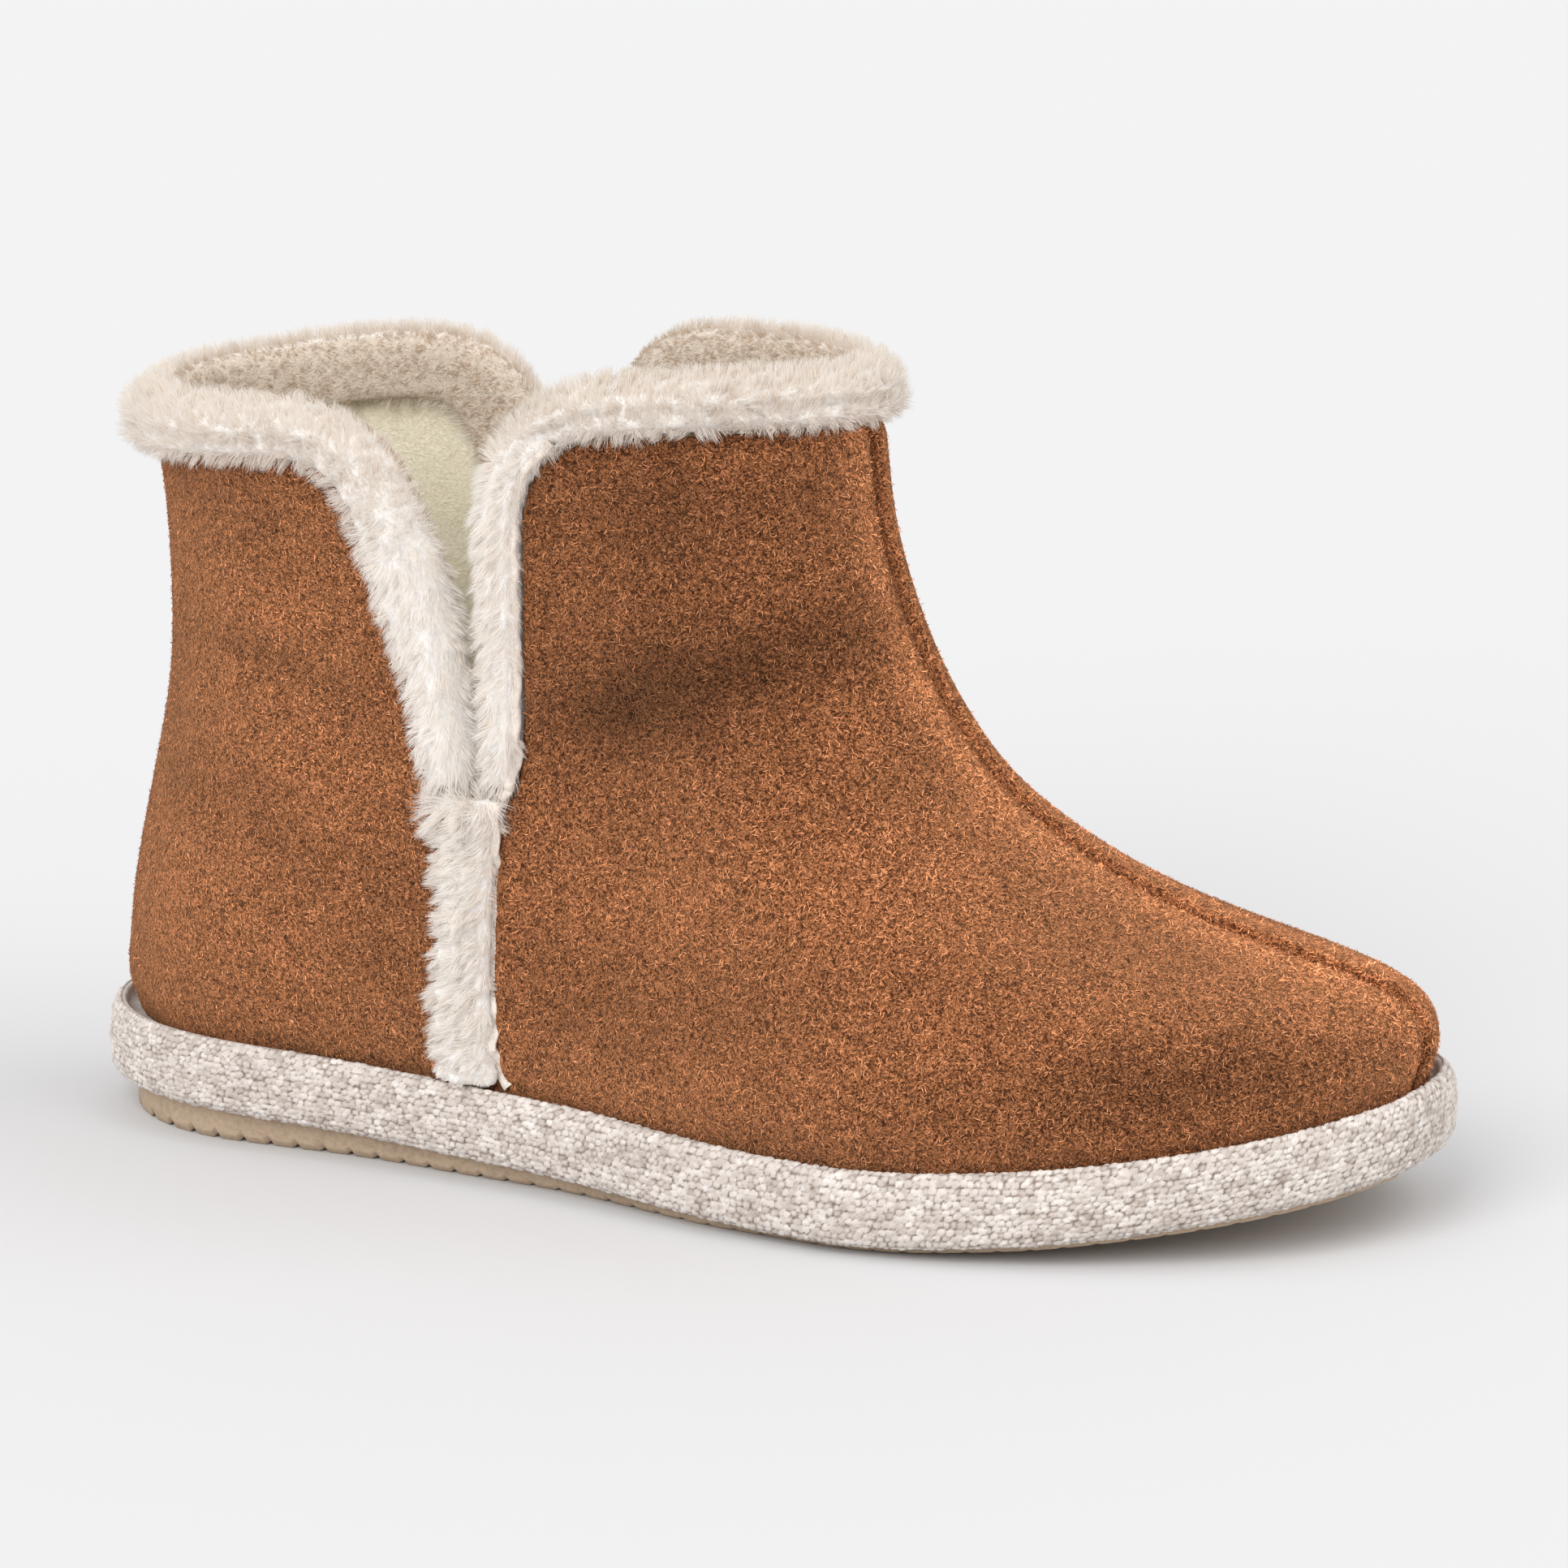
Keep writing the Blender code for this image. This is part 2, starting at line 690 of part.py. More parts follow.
def swept_body(name, sections, look):
    """Closed body skinned over a row of like sections, with a cap at each end."""
    count = len(sections[0])
    points = [point for section in sections for point in section]
    faces = [tuple(range(count - 1, -1, -1))]
    for row in range(len(sections) - 1):
        faces += ring_faces(row * count, (row + 1) * count, count)
    start = (len(sections) - 1) * count
    faces.append(tuple(start + k for k in range(count)))
    return add_body(name, points, faces, look, sharp=180)


def add_locks(body, places):
    """Tapered locks of pile drawn out of chosen faces on the outer side of a fur body."""
    mesh = body.data
    shape = bmesh.new()
    shape.from_mesh(mesh)
    shape.faces.ensure_lookup_table()
    chosen = [shape.faces[place] for place in places]
    drawn = bmesh.ops.extrude_discrete_faces(shape, faces=chosen)["faces"]
    for number, face in enumerate(drawn):
        centre = face.calc_center_median()
        normal = face.normal.copy()
        length = LOCK_LENGTH * (1 - LOCK_SPREAD + LOCK_SPREAD * math.sin(number * LOCK_TURN))
        for corner in face.verts:
            corner.co = centre + (corner.co - centre) * LOCK_TAPER + normal * length
    shape.to_mesh(mesh)
    shape.free()
    mesh.shade_smooth()


def build_band(name, place, look):
    """Rolled fur band swept along the suede's edge, folded to the inside, with locks fused on."""
    path = band_path(place)
    origins = [outer_point(angle, share) for angle, share, width in path]
    normals = [outward(angle, share) for angle, share, width in path]
    fur_rise = BACK_FUR_RISE if place == "back" else FRONT_FUR_RISE
    sections = []
    turn = 1 if place == "back" else -1
    for number, (angle, share, width) in enumerate(path):
        before = origins[max(number - 1, 0)]
        after = origins[min(number + 1, len(path) - 1)]
        along = (after - before) / np.linalg.norm(after - before)
        up = np.cross(along, normals[number]) * turn
        up /= np.linalg.norm(up)
        section = []
        for out, lift in zip(ROLL["out"], ROLL["up"]):
            section.append((out * fur_rise, GAP + lift * (width - GAP)))
        for out, lift in zip(FOLDED["out"], FOLDED["up"]):
            if lift > 0:
                level = GAP + lift * (width - GAP)
            else:
                level = lift * FUR_FOLD
            section.append((-WALL - FOLD_PLAY - out * FUR_LINING, level))
        section.append((-WALL - FOLD_PLAY, GAP))
        sections.append([origins[number] + normals[number] * out + up * lift for out, lift in section])
    band = swept_body(name, sections, look)
    count = len(sections[0])
    add_locks(band, [1 + row * count + face for row in range(1, len(sections) - 2) for face in (1, 2)])
    return band


def build_strip(name, side, look):
    """Upright fur strip in the stepped channel under a slit, with locks fused on."""
    bottom = slit_share()
    middle = SLIT_STATION * SOLE_LENGTH
    foot = height_share(middle, platform_top(middle) + 2 * GAP)
    shares = [foot] + [bottom * row for row in LOW_ROWS[2:]]
    sections = []
    for share in shares:
        slit_back, slit_front = slit_edges(share)
        start = slit_back + STRIP_STEP + GAP
        finish = slit_front - STRIP_STEP - GAP
        section = []
        for across, rise in zip(STRIP["across"], STRIP["rise"]):
            x = blend(start, finish, across)
            angle = side * angle_at(x, share)
            lift = GAP - STRIP_RECESS + rise * (STRIP_RECESS + STRIP_RISE)
            section.append(outer_point(angle, share) + outward(angle, share) * lift)
        angle = side * angle_at((start + finish) / 2, share)
        section.append(outer_point(angle, share) + outward(angle, share) * (GAP - STRIP_RECESS))
        sections.append(section)
    strip = swept_body(name, sections, look)
    count = len(sections[0])
    add_locks(strip, [1 + row * count + face for row in range(len(sections) - 1) for face in (1, 2)])
    return strip


rubber = material("rubber_taupe", (0.42, 0.34, 0.26), 0.75)
cloth = material("woven_cloth", (0.66, 0.58, 0.53), 0.9)
suede = material("suede_tan", (0.28, 0.10, 0.045), 0.95)
fleece = material("fleece_cream", (0.62, 0.55, 0.43), 1.0)
fur = material("fur_cream", (0.76, 0.66, 0.58), 1.0)

build_outsole(rubber)
build_midsole(cloth)
build_insole(fleece)
build_upper(suede)
build_band("fur_trim_back", "back", fur)
build_band("fur_trim_front", "front", fur)
build_strip("fur_strip_lateral", -1, fur)
build_strip("fur_strip_medial", 1, fur)
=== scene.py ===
"""Finish of a bootie slipper, right shoe: suede upper, fur trim, cloth wrapped platform, rubber outsole.

Metres, +Z up, toe towards +X, outer (lateral) side towards -Y, floor at z = 0.
"""
import math

import bpy
import numpy as np
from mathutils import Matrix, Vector
from mathutils.bvhtree import BVHTree
from mathutils.kdtree import KDTree


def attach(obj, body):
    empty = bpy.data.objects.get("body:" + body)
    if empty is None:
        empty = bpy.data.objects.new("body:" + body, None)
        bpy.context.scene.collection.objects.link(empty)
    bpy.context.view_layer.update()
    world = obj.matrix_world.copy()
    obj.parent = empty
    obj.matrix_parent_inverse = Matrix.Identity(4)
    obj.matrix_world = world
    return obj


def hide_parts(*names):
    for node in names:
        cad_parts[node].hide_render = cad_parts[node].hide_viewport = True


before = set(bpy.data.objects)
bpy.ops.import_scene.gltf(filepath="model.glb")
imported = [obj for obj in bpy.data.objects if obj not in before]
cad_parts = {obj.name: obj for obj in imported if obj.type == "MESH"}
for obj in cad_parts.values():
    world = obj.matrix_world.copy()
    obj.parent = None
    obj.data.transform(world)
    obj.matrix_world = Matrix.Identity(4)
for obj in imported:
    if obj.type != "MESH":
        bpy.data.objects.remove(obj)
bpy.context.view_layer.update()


# Outsole: a wedge of taupe rubber, moulded in one piece with cross ribs and a pebbled skin, and glued under the
# wrapped platform a little inside its edge. It keeps the solid's shape, with its moulded edges softened.
RUBBER_LIGHT = (187, 165, 141)
RUBBER_DARK = (154, 133, 113)
RUBBER_EDGE = 0.00035
RUBBER_CORNER_DEG = 32
RUBBER_SMOOTH_DEG = 40
PEBBLE = 0.0011
PEBBLE_DEPTH = 0.0004
WORN_PATCH = 0.02
MERGE_REACH = 0.00002
QUAD_FLATNESS_DEG = 50
QUAD_SKEW_DEG = 80


def paint(colour):
    """Linear colour of a paint given as 0 to 255 screen values."""
    shares = [value / 255 for value in colour]
    return (*[s / 12.92 if s <= 0.04045 else ((s + 0.055) / 1.055) ** 2.4 for s in shares], 1.0)


def alone(piece):
    """Makes a piece the only selected one, and the active one."""
    bpy.ops.object.select_all(action="DESELECT")
    piece.select_set(True)
    bpy.context.view_layer.objects.active = piece


def dressed_copy(node, name):
    """Copy of a solid with its triangles merged back to quads, for a piece that stands for it."""
    piece = bpy.data.objects.new(name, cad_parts[node].data.copy())
    bpy.context.scene.collection.objects.link(piece)
    piece.data.materials.clear()
    alone(piece)
    bpy.ops.mesh.customdata_custom_splitnormals_clear()
    bpy.ops.object.mode_set(mode="EDIT")
    bpy.ops.mesh.select_all(action="SELECT")
    bpy.ops.mesh.remove_doubles(threshold=MERGE_REACH)
    bpy.ops.mesh.mark_sharp(clear=True)
    bpy.ops.mesh.tris_convert_to_quads(face_threshold=math.radians(QUAD_FLATNESS_DEG),
                                       shape_threshold=math.radians(QUAD_SKEW_DEG))
    bpy.ops.object.mode_set(mode="OBJECT")
    bpy.ops.object.shade_smooth()
    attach(piece, "root")
    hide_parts(node)
    return piece


def finished(piece, kind, **settings):
    """Adds a modifier to a piece and applies it."""
    alone(piece)
    modifier = piece.modifiers.new(kind.lower(), kind)
    for key, value in settings.items():
        setattr(modifier, key, value)
    bpy.ops.object.modifier_apply(modifier=modifier.name)


def add_node(tree, kind, inputs=None, **settings):
    """Node with its settings, its inputs set to values or linked from sockets."""
    made = tree.nodes.new(kind)
    for key, value in settings.items():
        setattr(made, key, value)
    for key, value in (inputs or {}).items():
        if isinstance(value, bpy.types.NodeSocket):
            tree.links.new(value, made.inputs[key])
        else:
            made.inputs[key].default_value = value
    return made


def new_look(name, roughness, specular, sheen=0.0, sheen_roughness=0.5, tint=(1, 1, 1, 1)):
    """Material whose even properties are set on its shader: (material, tree, shader)."""
    look = bpy.data.materials.new(name)
    look.use_nodes = True
    shader = look.node_tree.nodes["Principled BSDF"]
    shader.inputs["Roughness"].default_value = roughness
    shader.inputs["Specular IOR Level"].default_value = specular
    shader.inputs["Sheen Weight"].default_value = sheen
    shader.inputs["Sheen Roughness"].default_value = sheen_roughness
    shader.inputs["Sheen Tint"].default_value = tint
    return look, look.node_tree, shader


def noise(tree, size, detail=2.0, roughness=0.5, distortion=0.0):
    """Noise over the object's own coordinates, with features of this size in metres."""
    place = add_node(tree, "ShaderNodeTexCoord").outputs["Object"]
    made = add_node(tree, "ShaderNodeTexNoise", {"Vector": place, "Scale": 1 / size, "Detail": detail,
                                                 "Roughness": roughness, "Distortion": distortion})
    return made.outputs["Fac"]


def ramp(tree, share, stops):
    """Colour ramp through (place, colour) stops."""
    made = add_node(tree, "ShaderNodeValToRGB", {"Fac": share})
    steps = made.color_ramp.elements
    while len(steps) < len(stops):
        steps.new(0.5)
    for step, (place, colour) in zip(steps, stops):
        step.position = place
        step.color = paint(colour)
    return made.outputs["Color"]


def mixed(tree, share, first, second, way="MIX"):
    """Mix of two colours, each a socket or a paint."""
    made = add_node(tree, "ShaderNodeMix", data_type="RGBA", blend_type=way)
    for place, value in ((0, share), (6, first), (7, second)):
        if isinstance(value, bpy.types.NodeSocket):
            tree.links.new(value, made.inputs[place])
        else:
            made.inputs[place].default_value = value
    return made.outputs[2]


def bumped(tree, shader, height, distance, strength=1.0, below=None):
    """Bump of this depth in metres on a shader, over an earlier bump if one is given."""
    inputs = {"Height": height, "Distance": distance, "Strength": strength}
    if below is not None:
        inputs["Normal"] = below
    made = add_node(tree, "ShaderNodeBump", inputs).outputs["Normal"]
    tree.links.new(made, shader.inputs["Normal"])
    return made


outsole = dressed_copy("outsole", "outsole_rubber")
finished(outsole, "BEVEL", width=RUBBER_EDGE, segments=2, limit_method="ANGLE",
         angle_limit=math.radians(RUBBER_CORNER_DEG))
bpy.ops.object.shade_smooth_by_angle(angle=math.radians(RUBBER_SMOOTH_DEG))
rubber, tree, shader = new_look("pebbled_rubber", 0.72, 0.3)
pebbles = noise(tree, PEBBLE, detail=3, roughness=0.6)
worn = noise(tree, WORN_PATCH, detail=3)
grain = ramp(tree, pebbles, [(0.35, RUBBER_DARK), (0.62, RUBBER_LIGHT)])
tree.links.new(mixed(tree, worn, grain, paint(RUBBER_LIGHT)), shader.inputs["Base Color"])
bumped(tree, shader, pebbles, PEBBLE_DEPTH, 0.7)
outsole.data.materials.append(rubber)


# Platform: a firm foam slab wrapped in a coarse pale cloth of slubby yarn, glued down over the lip and rolled
# under at the bottom. The slab is a smooth copy of the solid, and the cloth is a fine mesh over its side whose
# every yarn lump stands proud, in staggered rows that follow the shoe round.
CLOTH_LIGHT = (242, 236, 231)
CLOTH_MID = (216, 206, 198)
CLOTH_GREY = (186, 175, 167)
# Painted shade for the pits between the yarn lumps
CLOTH_PIT_SHADE = (130, 112, 99)
LUMP_LENGTH = 0.00135
LUMP_HEIGHT = 0.0011
LUMP_RISE = 0.00042
LUMP_JITTER = 0.32
LUMP_SIZES = (0.6, 1.25)
LUMP_TALLNESS = 1.05
LUMP_ROWS = 64
LUMP_RIM = 0.5
LUMP_DOME = 0.75
LUMP_RIM_SHARE = 0.55
LUMP_RIM_POWER = 0.6
CLOTH_LIFT = 0.0001
CLOTH_TUCK = -1.5
CLOTH_STATIONS = 1480
CLOTH_ROWS = 54
FIBRE = 0.0004
FIBRE_DEPTH = 0.0003
STREAK = 0.0034
PIT_SHADE_RISES = (0.12, 0.62)
# Waver of the rows round the shoe, in lumps: its reach, and its turns up the side and along it
ROW_WAVER = (0.16, 1.9, 0.37)
# Slow drift of the columns, in lumps, and how many times it comes round the shoe
COLUMN_DRIFT = (0.5, 5)
OUTLINE_RAYS = 1200
OUTLINE_SPAN = 6
FAN_RAYS = 64
FAN_TILTS_DEG = (-84, 86)
FAN_INSET = 0.0026
MID_LEVEL = 0.015


def surface_of(piece):
    """Ray caster over a piece's own faces."""
    return BVHTree.FromPolygons([v.co for v in piece.data.vertices], [p.vertices for p in piece.data.polygons])


def resampled(points, count, closed=False):
    """Points at even spacing along a polyline."""
    if closed:
        points = np.vstack([points, points[:1]])
    steps = np.linalg.norm(np.diff(points, axis=0), axis=1)
    along = np.concatenate([[0], np.cumsum(steps)])
    at = np.linspace(0, along[-1], count, endpoint=not closed)
    return np.stack([np.interp(at, along, column) for column in points.T], axis=1)


def mesh_piece(name, points, faces):
    """Smooth piece from an array of points and an array of faces of one size."""
    mesh = bpy.data.meshes.new(name)
    size = faces.shape[1]
    mesh.vertices.add(len(points))
    mesh.vertices.foreach_set("co", points.astype(np.float32).ravel())
    mesh.loops.add(faces.size)
    mesh.loops.foreach_set("vertex_index", faces.astype(np.int32).ravel())
    mesh.polygons.add(len(faces))
    mesh.polygons.foreach_set("loop_start", np.arange(0, faces.size, size, dtype=np.int32))
    mesh.update(calc_edges=True)
    mesh.shade_smooth()
    piece = bpy.data.objects.new(name, mesh)
    bpy.context.scene.collection.objects.link(piece)
    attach(piece, "root")
    return piece


def wrap_mesh(name, grid):
    """Piece over a grid of points, column by column, that closes on itself all the way round."""
    columns, rows = grid.shape[:2]
    index = np.arange(columns * rows).reshape(columns, rows)
    after = np.roll(index, -1, axis=0)
    quads = np.stack([index[:, :-1], after[:, :-1], after[:, 1:], index[:, 1:]], axis=-1).reshape(-1, 4)
    return mesh_piece(name, grid.reshape(-1, 3), quads)


def marked(piece, name, values):
    """Gives each vertex of a piece one number, under a name that its material reads."""
    attribute = piece.data.attributes.new(name, "FLOAT", "POINT")
    attribute.data.foreach_set("value", values.astype(np.float32).ravel())


def reading(tree, name):
    """The number that the vertices carry under a name."""
    made = add_node(tree, "ShaderNodeAttribute", attribute_name=name, attribute_type="GEOMETRY")
    return made.outputs["Fac"]


def lumps(along, up, around):
    """Yarn lumps over cloth coordinates in lumps: (height 0 to 1, tone 0 to 1) of the nearest lump."""
    chance = np.random.default_rng(4)
    jitter = chance.uniform(-LUMP_JITTER, LUMP_JITTER, (around, LUMP_ROWS, 2))
    tones = chance.uniform(0, 1, (around, LUMP_ROWS))
    sizes = chance.uniform(*LUMP_SIZES, (around, LUMP_ROWS))
    nearest = np.full(along.shape, 9.0)
    second = np.full(along.shape, 9.0)
    tone = np.zeros(along.shape)
    size = np.ones(along.shape)
    for across in (-1, 0, 1):
        for rise in (-1, 0, 1):
            row = np.floor(up).astype(int) + rise
            shift = 0.5 * (row % 2)
            column = np.floor(along - shift).astype(int) + across
            which = (column % around, row % LUMP_ROWS)
            away = np.hypot(along - (column + 0.5 + shift + jitter[which][..., 0]),
                            (up - (row + 0.5 + jitter[which][..., 1])) * LUMP_TALLNESS)
            closer = away < nearest
            second = np.where(closer, nearest, np.minimum(second, away))
            tone = np.where(closer, tones[which], tone)
            size = np.where(closer, sizes[which], size)
            nearest = np.where(closer, away, nearest)
    rim = np.clip((second - nearest) / LUMP_RIM, 0, 1)
    dome = 1 - np.clip(nearest / LUMP_DOME, 0, 1) ** 2
    return size * (LUMP_RIM_SHARE * rim ** LUMP_RIM_POWER + (1 - LUMP_RIM_SHARE) * dome), tone


platform = dressed_copy("midsole", "platform_slab")
finished(platform, "SUBSURF", levels=1, render_levels=1)
platform_rays = surface_of(platform)

outline = []
for angle in np.linspace(0, 2 * math.pi, OUTLINE_RAYS, endpoint=False):
    out = Vector((math.cos(angle), math.sin(angle), 0))
    outline.append(platform_rays.ray_cast(out + Vector((0, 0, MID_LEVEL)), -out)[0])
outline = resampled(np.array(outline), CLOTH_STATIONS, closed=True)[:, :2]
ahead = np.roll(outline, -OUTLINE_SPAN, axis=0) - np.roll(outline, OUTLINE_SPAN, axis=0)
outwards = np.stack([ahead[:, 1], -ahead[:, 0]], axis=1) / np.linalg.norm(ahead, axis=1)[:, None]

cloth_base = np.zeros((CLOTH_STATIONS, CLOTH_ROWS, 3))
tilts = np.radians(np.linspace(*FAN_TILTS_DEG, FAN_RAYS))
for station, (edge, out) in enumerate(zip(outline, outwards)):
    x, y = edge - out * FAN_INSET
    top = platform_rays.ray_cast(Vector((x, y, 1.0)), Vector((0, 0, -1)))[0]
    bottom = platform_rays.ray_cast(Vector((x, y, -1.0)), Vector((0, 0, 1)))[0]
    core = (top + bottom) / 2
    ways = [Vector((out[0] * math.cos(t), out[1] * math.cos(t), math.sin(t))) for t in tilts]
    fan = [platform_rays.ray_cast(core, way)[0] for way in ways]
    cloth_base[station] = resampled(np.array(fan), CLOTH_ROWS)

round_step = np.roll(cloth_base, -1, axis=0) - np.roll(cloth_base, 1, axis=0)
up_step = np.gradient(cloth_base, axis=1)
cloth_out = np.cross(round_step, up_step)
cloth_out /= np.linalg.norm(cloth_out, axis=2)[:, :, None]
girth = np.linalg.norm(np.diff(outline, axis=0), axis=1).sum()
height = np.linalg.norm(np.diff(cloth_base[0], axis=0), axis=1).sum()
around = round(girth / LUMP_LENGTH)
along = np.arange(CLOTH_STATIONS)[:, None] * around / CLOTH_STATIONS + np.zeros(CLOTH_ROWS)
up = np.linspace(0, height / LUMP_HEIGHT, CLOTH_ROWS)[None, :] + np.zeros(along.shape)
waver, waver_up, waver_along = ROW_WAVER
drift, drift_turns = COLUMN_DRIFT
along = (along + waver * np.sin(up * waver_up + along * waver_along)
         + drift * np.sin(along * 2 * math.pi * drift_turns / around))
rise, tone = lumps(along, up, around)
tucked = np.ones(CLOTH_ROWS)
tucked[0] = tucked[-1] = CLOTH_TUCK
cloth = wrap_mesh("platform_cloth",
                  cloth_base + cloth_out * ((rise * LUMP_RISE + CLOTH_LIFT) * tucked)[:, :, None])
marked(cloth, "rise", rise)
marked(cloth, "tone", tone)

weave, tree, shader = new_look("slubby_cloth", 0.9, 0.15, sheen=0.25, sheen_roughness=0.5)
fibres = noise(tree, FIBRE, detail=4, roughness=0.65, distortion=0.6)
clouds = noise(tree, STREAK, detail=3, roughness=0.7)
yarn = ramp(tree, reading(tree, "tone"), [(0.0, CLOTH_GREY), (0.35, CLOTH_MID), (0.85, CLOTH_LIGHT)])
yarn = mixed(tree, fibres, yarn, paint(CLOTH_LIGHT), "MULTIPLY")
streaked = ramp(tree, clouds, [(0.36, CLOTH_GREY), (0.5, CLOTH_MID), (0.64, CLOTH_LIGHT)])
yarn = mixed(tree, 0.5, yarn, streaked)
# Painted shade: the pits between the yarn lumps, where the rise is low, are painted dark as if in shadow
pit_shade = add_node(tree, "ShaderNodeMapRange", {"Value": reading(tree, "rise"), "From Min": PIT_SHADE_RISES[0],
                                             "From Max": PIT_SHADE_RISES[1]})
tree.links.new(mixed(tree, pit_shade.outputs["Result"], paint(CLOTH_PIT_SHADE), yarn), shader.inputs["Base Color"])
bumped(tree, shader, fibres, FIBRE_DEPTH, 0.8)
cloth.data.materials.append(weave)
platform.data.materials.append(weave)
marked(platform, "rise", np.full(len(platform.data.vertices), 0.6))
marked(platform, "tone", np.full(len(platform.data.vertices), 0.5))


# Insole: a soft pad covered in short pale fleece, dropped loose into the upper. It keeps the solid's place,
# with its rim rounded and its pile left to the material.
FLEECE_LIGHT = (255, 250, 232)
FLEECE_MID = (246, 238, 214)
FLEECE_DARK = (226, 214, 182)
FLEECE_RIM = 0.0008
FLEECE_CORNER_DEG = 40
FLEECE_TUFT = 0.0009
FLEECE_TUFT_DEPTH = 0.0006
FLEECE_WAVE = 0.011
FLEECE_WAVE_DEPTH = 0.0012

insole = dressed_copy("insole", "insole_fleece")
finished(insole, "BEVEL", width=FLEECE_RIM, segments=2, limit_method="ANGLE",
         angle_limit=math.radians(FLEECE_CORNER_DEG))
finished(insole, "SUBSURF", levels=2, render_levels=2)
fleece, tree, shader = new_look("short_fleece", 0.95, 0.1, sheen=0.3, sheen_roughness=0.4)
pile = noise(tree, FLEECE_TUFT, detail=4, roughness=0.7, distortion=0.9)
mottle_and_shade = noise(tree, FLEECE_WAVE, detail=3, roughness=0.6, distortion=0.8)
tufts = ramp(tree, pile, [(0.3, FLEECE_DARK), (0.62, FLEECE_LIGHT)])
tree.links.new(mixed(tree, mottle_and_shade, tufts, paint(FLEECE_MID)), shader.inputs["Base Color"])
soft = bumped(tree, shader, mottle_and_shade, FLEECE_WAVE_DEPTH, 0.5)
bumped(tree, shader, pile, FLEECE_TUFT_DEPTH, 0.8, soft)
insole.data.materials.append(fleece)


# Upper: two quarters of brushed tan suede bonded to fleece, joined by a raised strip down the front seam. It
# is a smooth copy of the hollow solid, with the soft folds of a worn-in ankle pressed in. Outside and edges are
# suede, the inside is fleece.
SUEDE_LIGHT = (212, 139, 93)
SUEDE_MID = (136, 83, 50)
SUEDE_DARK = (70, 38, 23)
SUEDE_BLOOM = (255, 190, 140)
CURL = 0.00088
FINER_CURL = 0.7
FINER_SHIFT = 3.7
CURL_WIDTH = 0.16
CURL_DEPTH = 0.0007
CLOUD = 0.014
CLOUD_SHADES = (0.92, 1.08)
# Share of the patches of painted shade and painted highlight
LIGHT_AND_SHADE_PATCH_SHARE = 0.6
# Painted highlight beside the front seam: strength, distance from the seam, width, and length of its fade-in
SEAM_HIGHLIGHT = 0.62
SEAM_HIGHLIGHT_PLACE = 0.005
SEAM_HIGHLIGHT_WIDTH = 0.0045
SEAM_HIGHLIGHT_EASE = 0.010
SEAM_START_X = 0.002
SEAM_START_Z = 0.019
SEAM_EASE = 0.006
# Painted shade along the foot of the suede, where it meets the platform: strength and reach
FOOT_SHADE = 0.5
FOOT_REACH = 0.0016
MOTTLE_WAVES = 14
MOTTLE_LENGTHS = (0.010, 0.034)
MOTTLE_SHARE = 0.06
OUTER_SEED = (0.0, -0.0455, 0.030)
BACK_TO_BACK = -0.7
FLEECE_TURN_DEG = 40
TOE_SWING = 0.0105
HALF_LENGTH = 0.128
CENTRE_Y = 0.0021
GUTTER_PLACE = 0.0029
GUTTER_WIDTH = 0.0009
GUTTER_DEPTH = 0.0019
# Painted shade laid in the gutters beside the seam strip
GUTTER_SHADE = 0.45
FOLD_ENDS = 0.45
UNFOLDED_BESIDE_SEAM = 0.004
FOLD_EASE = 0.012
# Folds, troughs where the depth is above 0 and ridges where it is below: start x and z, end x and z, width, depth
LATERAL_FOLDS = (
    (-0.1010, 0.0965, -0.0710, 0.0892, 0.0042, 0.0011),
    (-0.0300, 0.0790, 0.0270, 0.1035, 0.0095, 0.0018),
    (-0.1030, 0.0690, -0.0820, 0.0600, 0.0060, 0.0006),
    (-0.0950, 0.1200, -0.0760, 0.1130, 0.0060, 0.0006),
    (0.0000, 0.0560, 0.0400, 0.0760, 0.0080, -0.0007),
    (0.0720, 0.0310, 0.1060, 0.0330, 0.0080, 0.0007),
    (0.0400, 0.0330, 0.0560, 0.0520, 0.0070, 0.0005),
)
MEDIAL_FOLDS = (
    (-0.1000, 0.0900, -0.0700, 0.0960, 0.0045, 0.0010),
    (-0.0260, 0.0810, 0.0270, 0.1010, 0.0090, 0.0017),
    (-0.1010, 0.0660, -0.0800, 0.0610, 0.0060, 0.0006),
    (0.0050, 0.0540, 0.0420, 0.0720, 0.0080, -0.0006),
    (0.0420, 0.0300, 0.0620, 0.0480, 0.0070, 0.0006),
)
# Patches of painted shade (negative) and painted highlight (positive) on the nap: x, z, long and short reach,
# tilt in degrees, strength
LATERAL_LIGHT_AND_SHADE_PATCHES = (
    (-0.006, 0.1260, 0.026, 0.0170, 0, -0.20),
    (0.003, 0.0945, 0.036, 0.0110, 21, -0.72),
    (-0.014, 0.0900, 0.022, 0.0140, 12, -0.40),
    (-0.004, 0.1230, 0.040, 0.0200, 5, -0.30),
    (0.094, 0.0325, 0.034, 0.0080, 3, -0.60),
    (0.034, 0.0640, 0.038, 0.0140, -12, 0.30),
    (0.112, 0.0470, 0.014, 0.0120, -30, 0.55),
    (-0.090, 0.1190, 0.018, 0.0080, -25, -0.25),
    (-0.086, 0.0925, 0.020, 0.0028, -12, -0.50),
    (-0.084, 0.1020, 0.018, 0.0070, -10, 0.40),
    (-0.076, 0.0780, 0.018, 0.0080, -14, 0.30),
    (-0.100, 0.0670, 0.012, 0.0070, -30, -0.25),
    (-0.080, 0.0560, 0.012, 0.0050, -30, -0.20),
    (-0.058, 0.0400, 0.010, 0.0110, 0, -0.30),
    (-0.095, 0.0420, 0.024, 0.0140, 0, 0.35),
    (-0.006, 0.0360, 0.024, 0.0110, 0, -0.25),
)


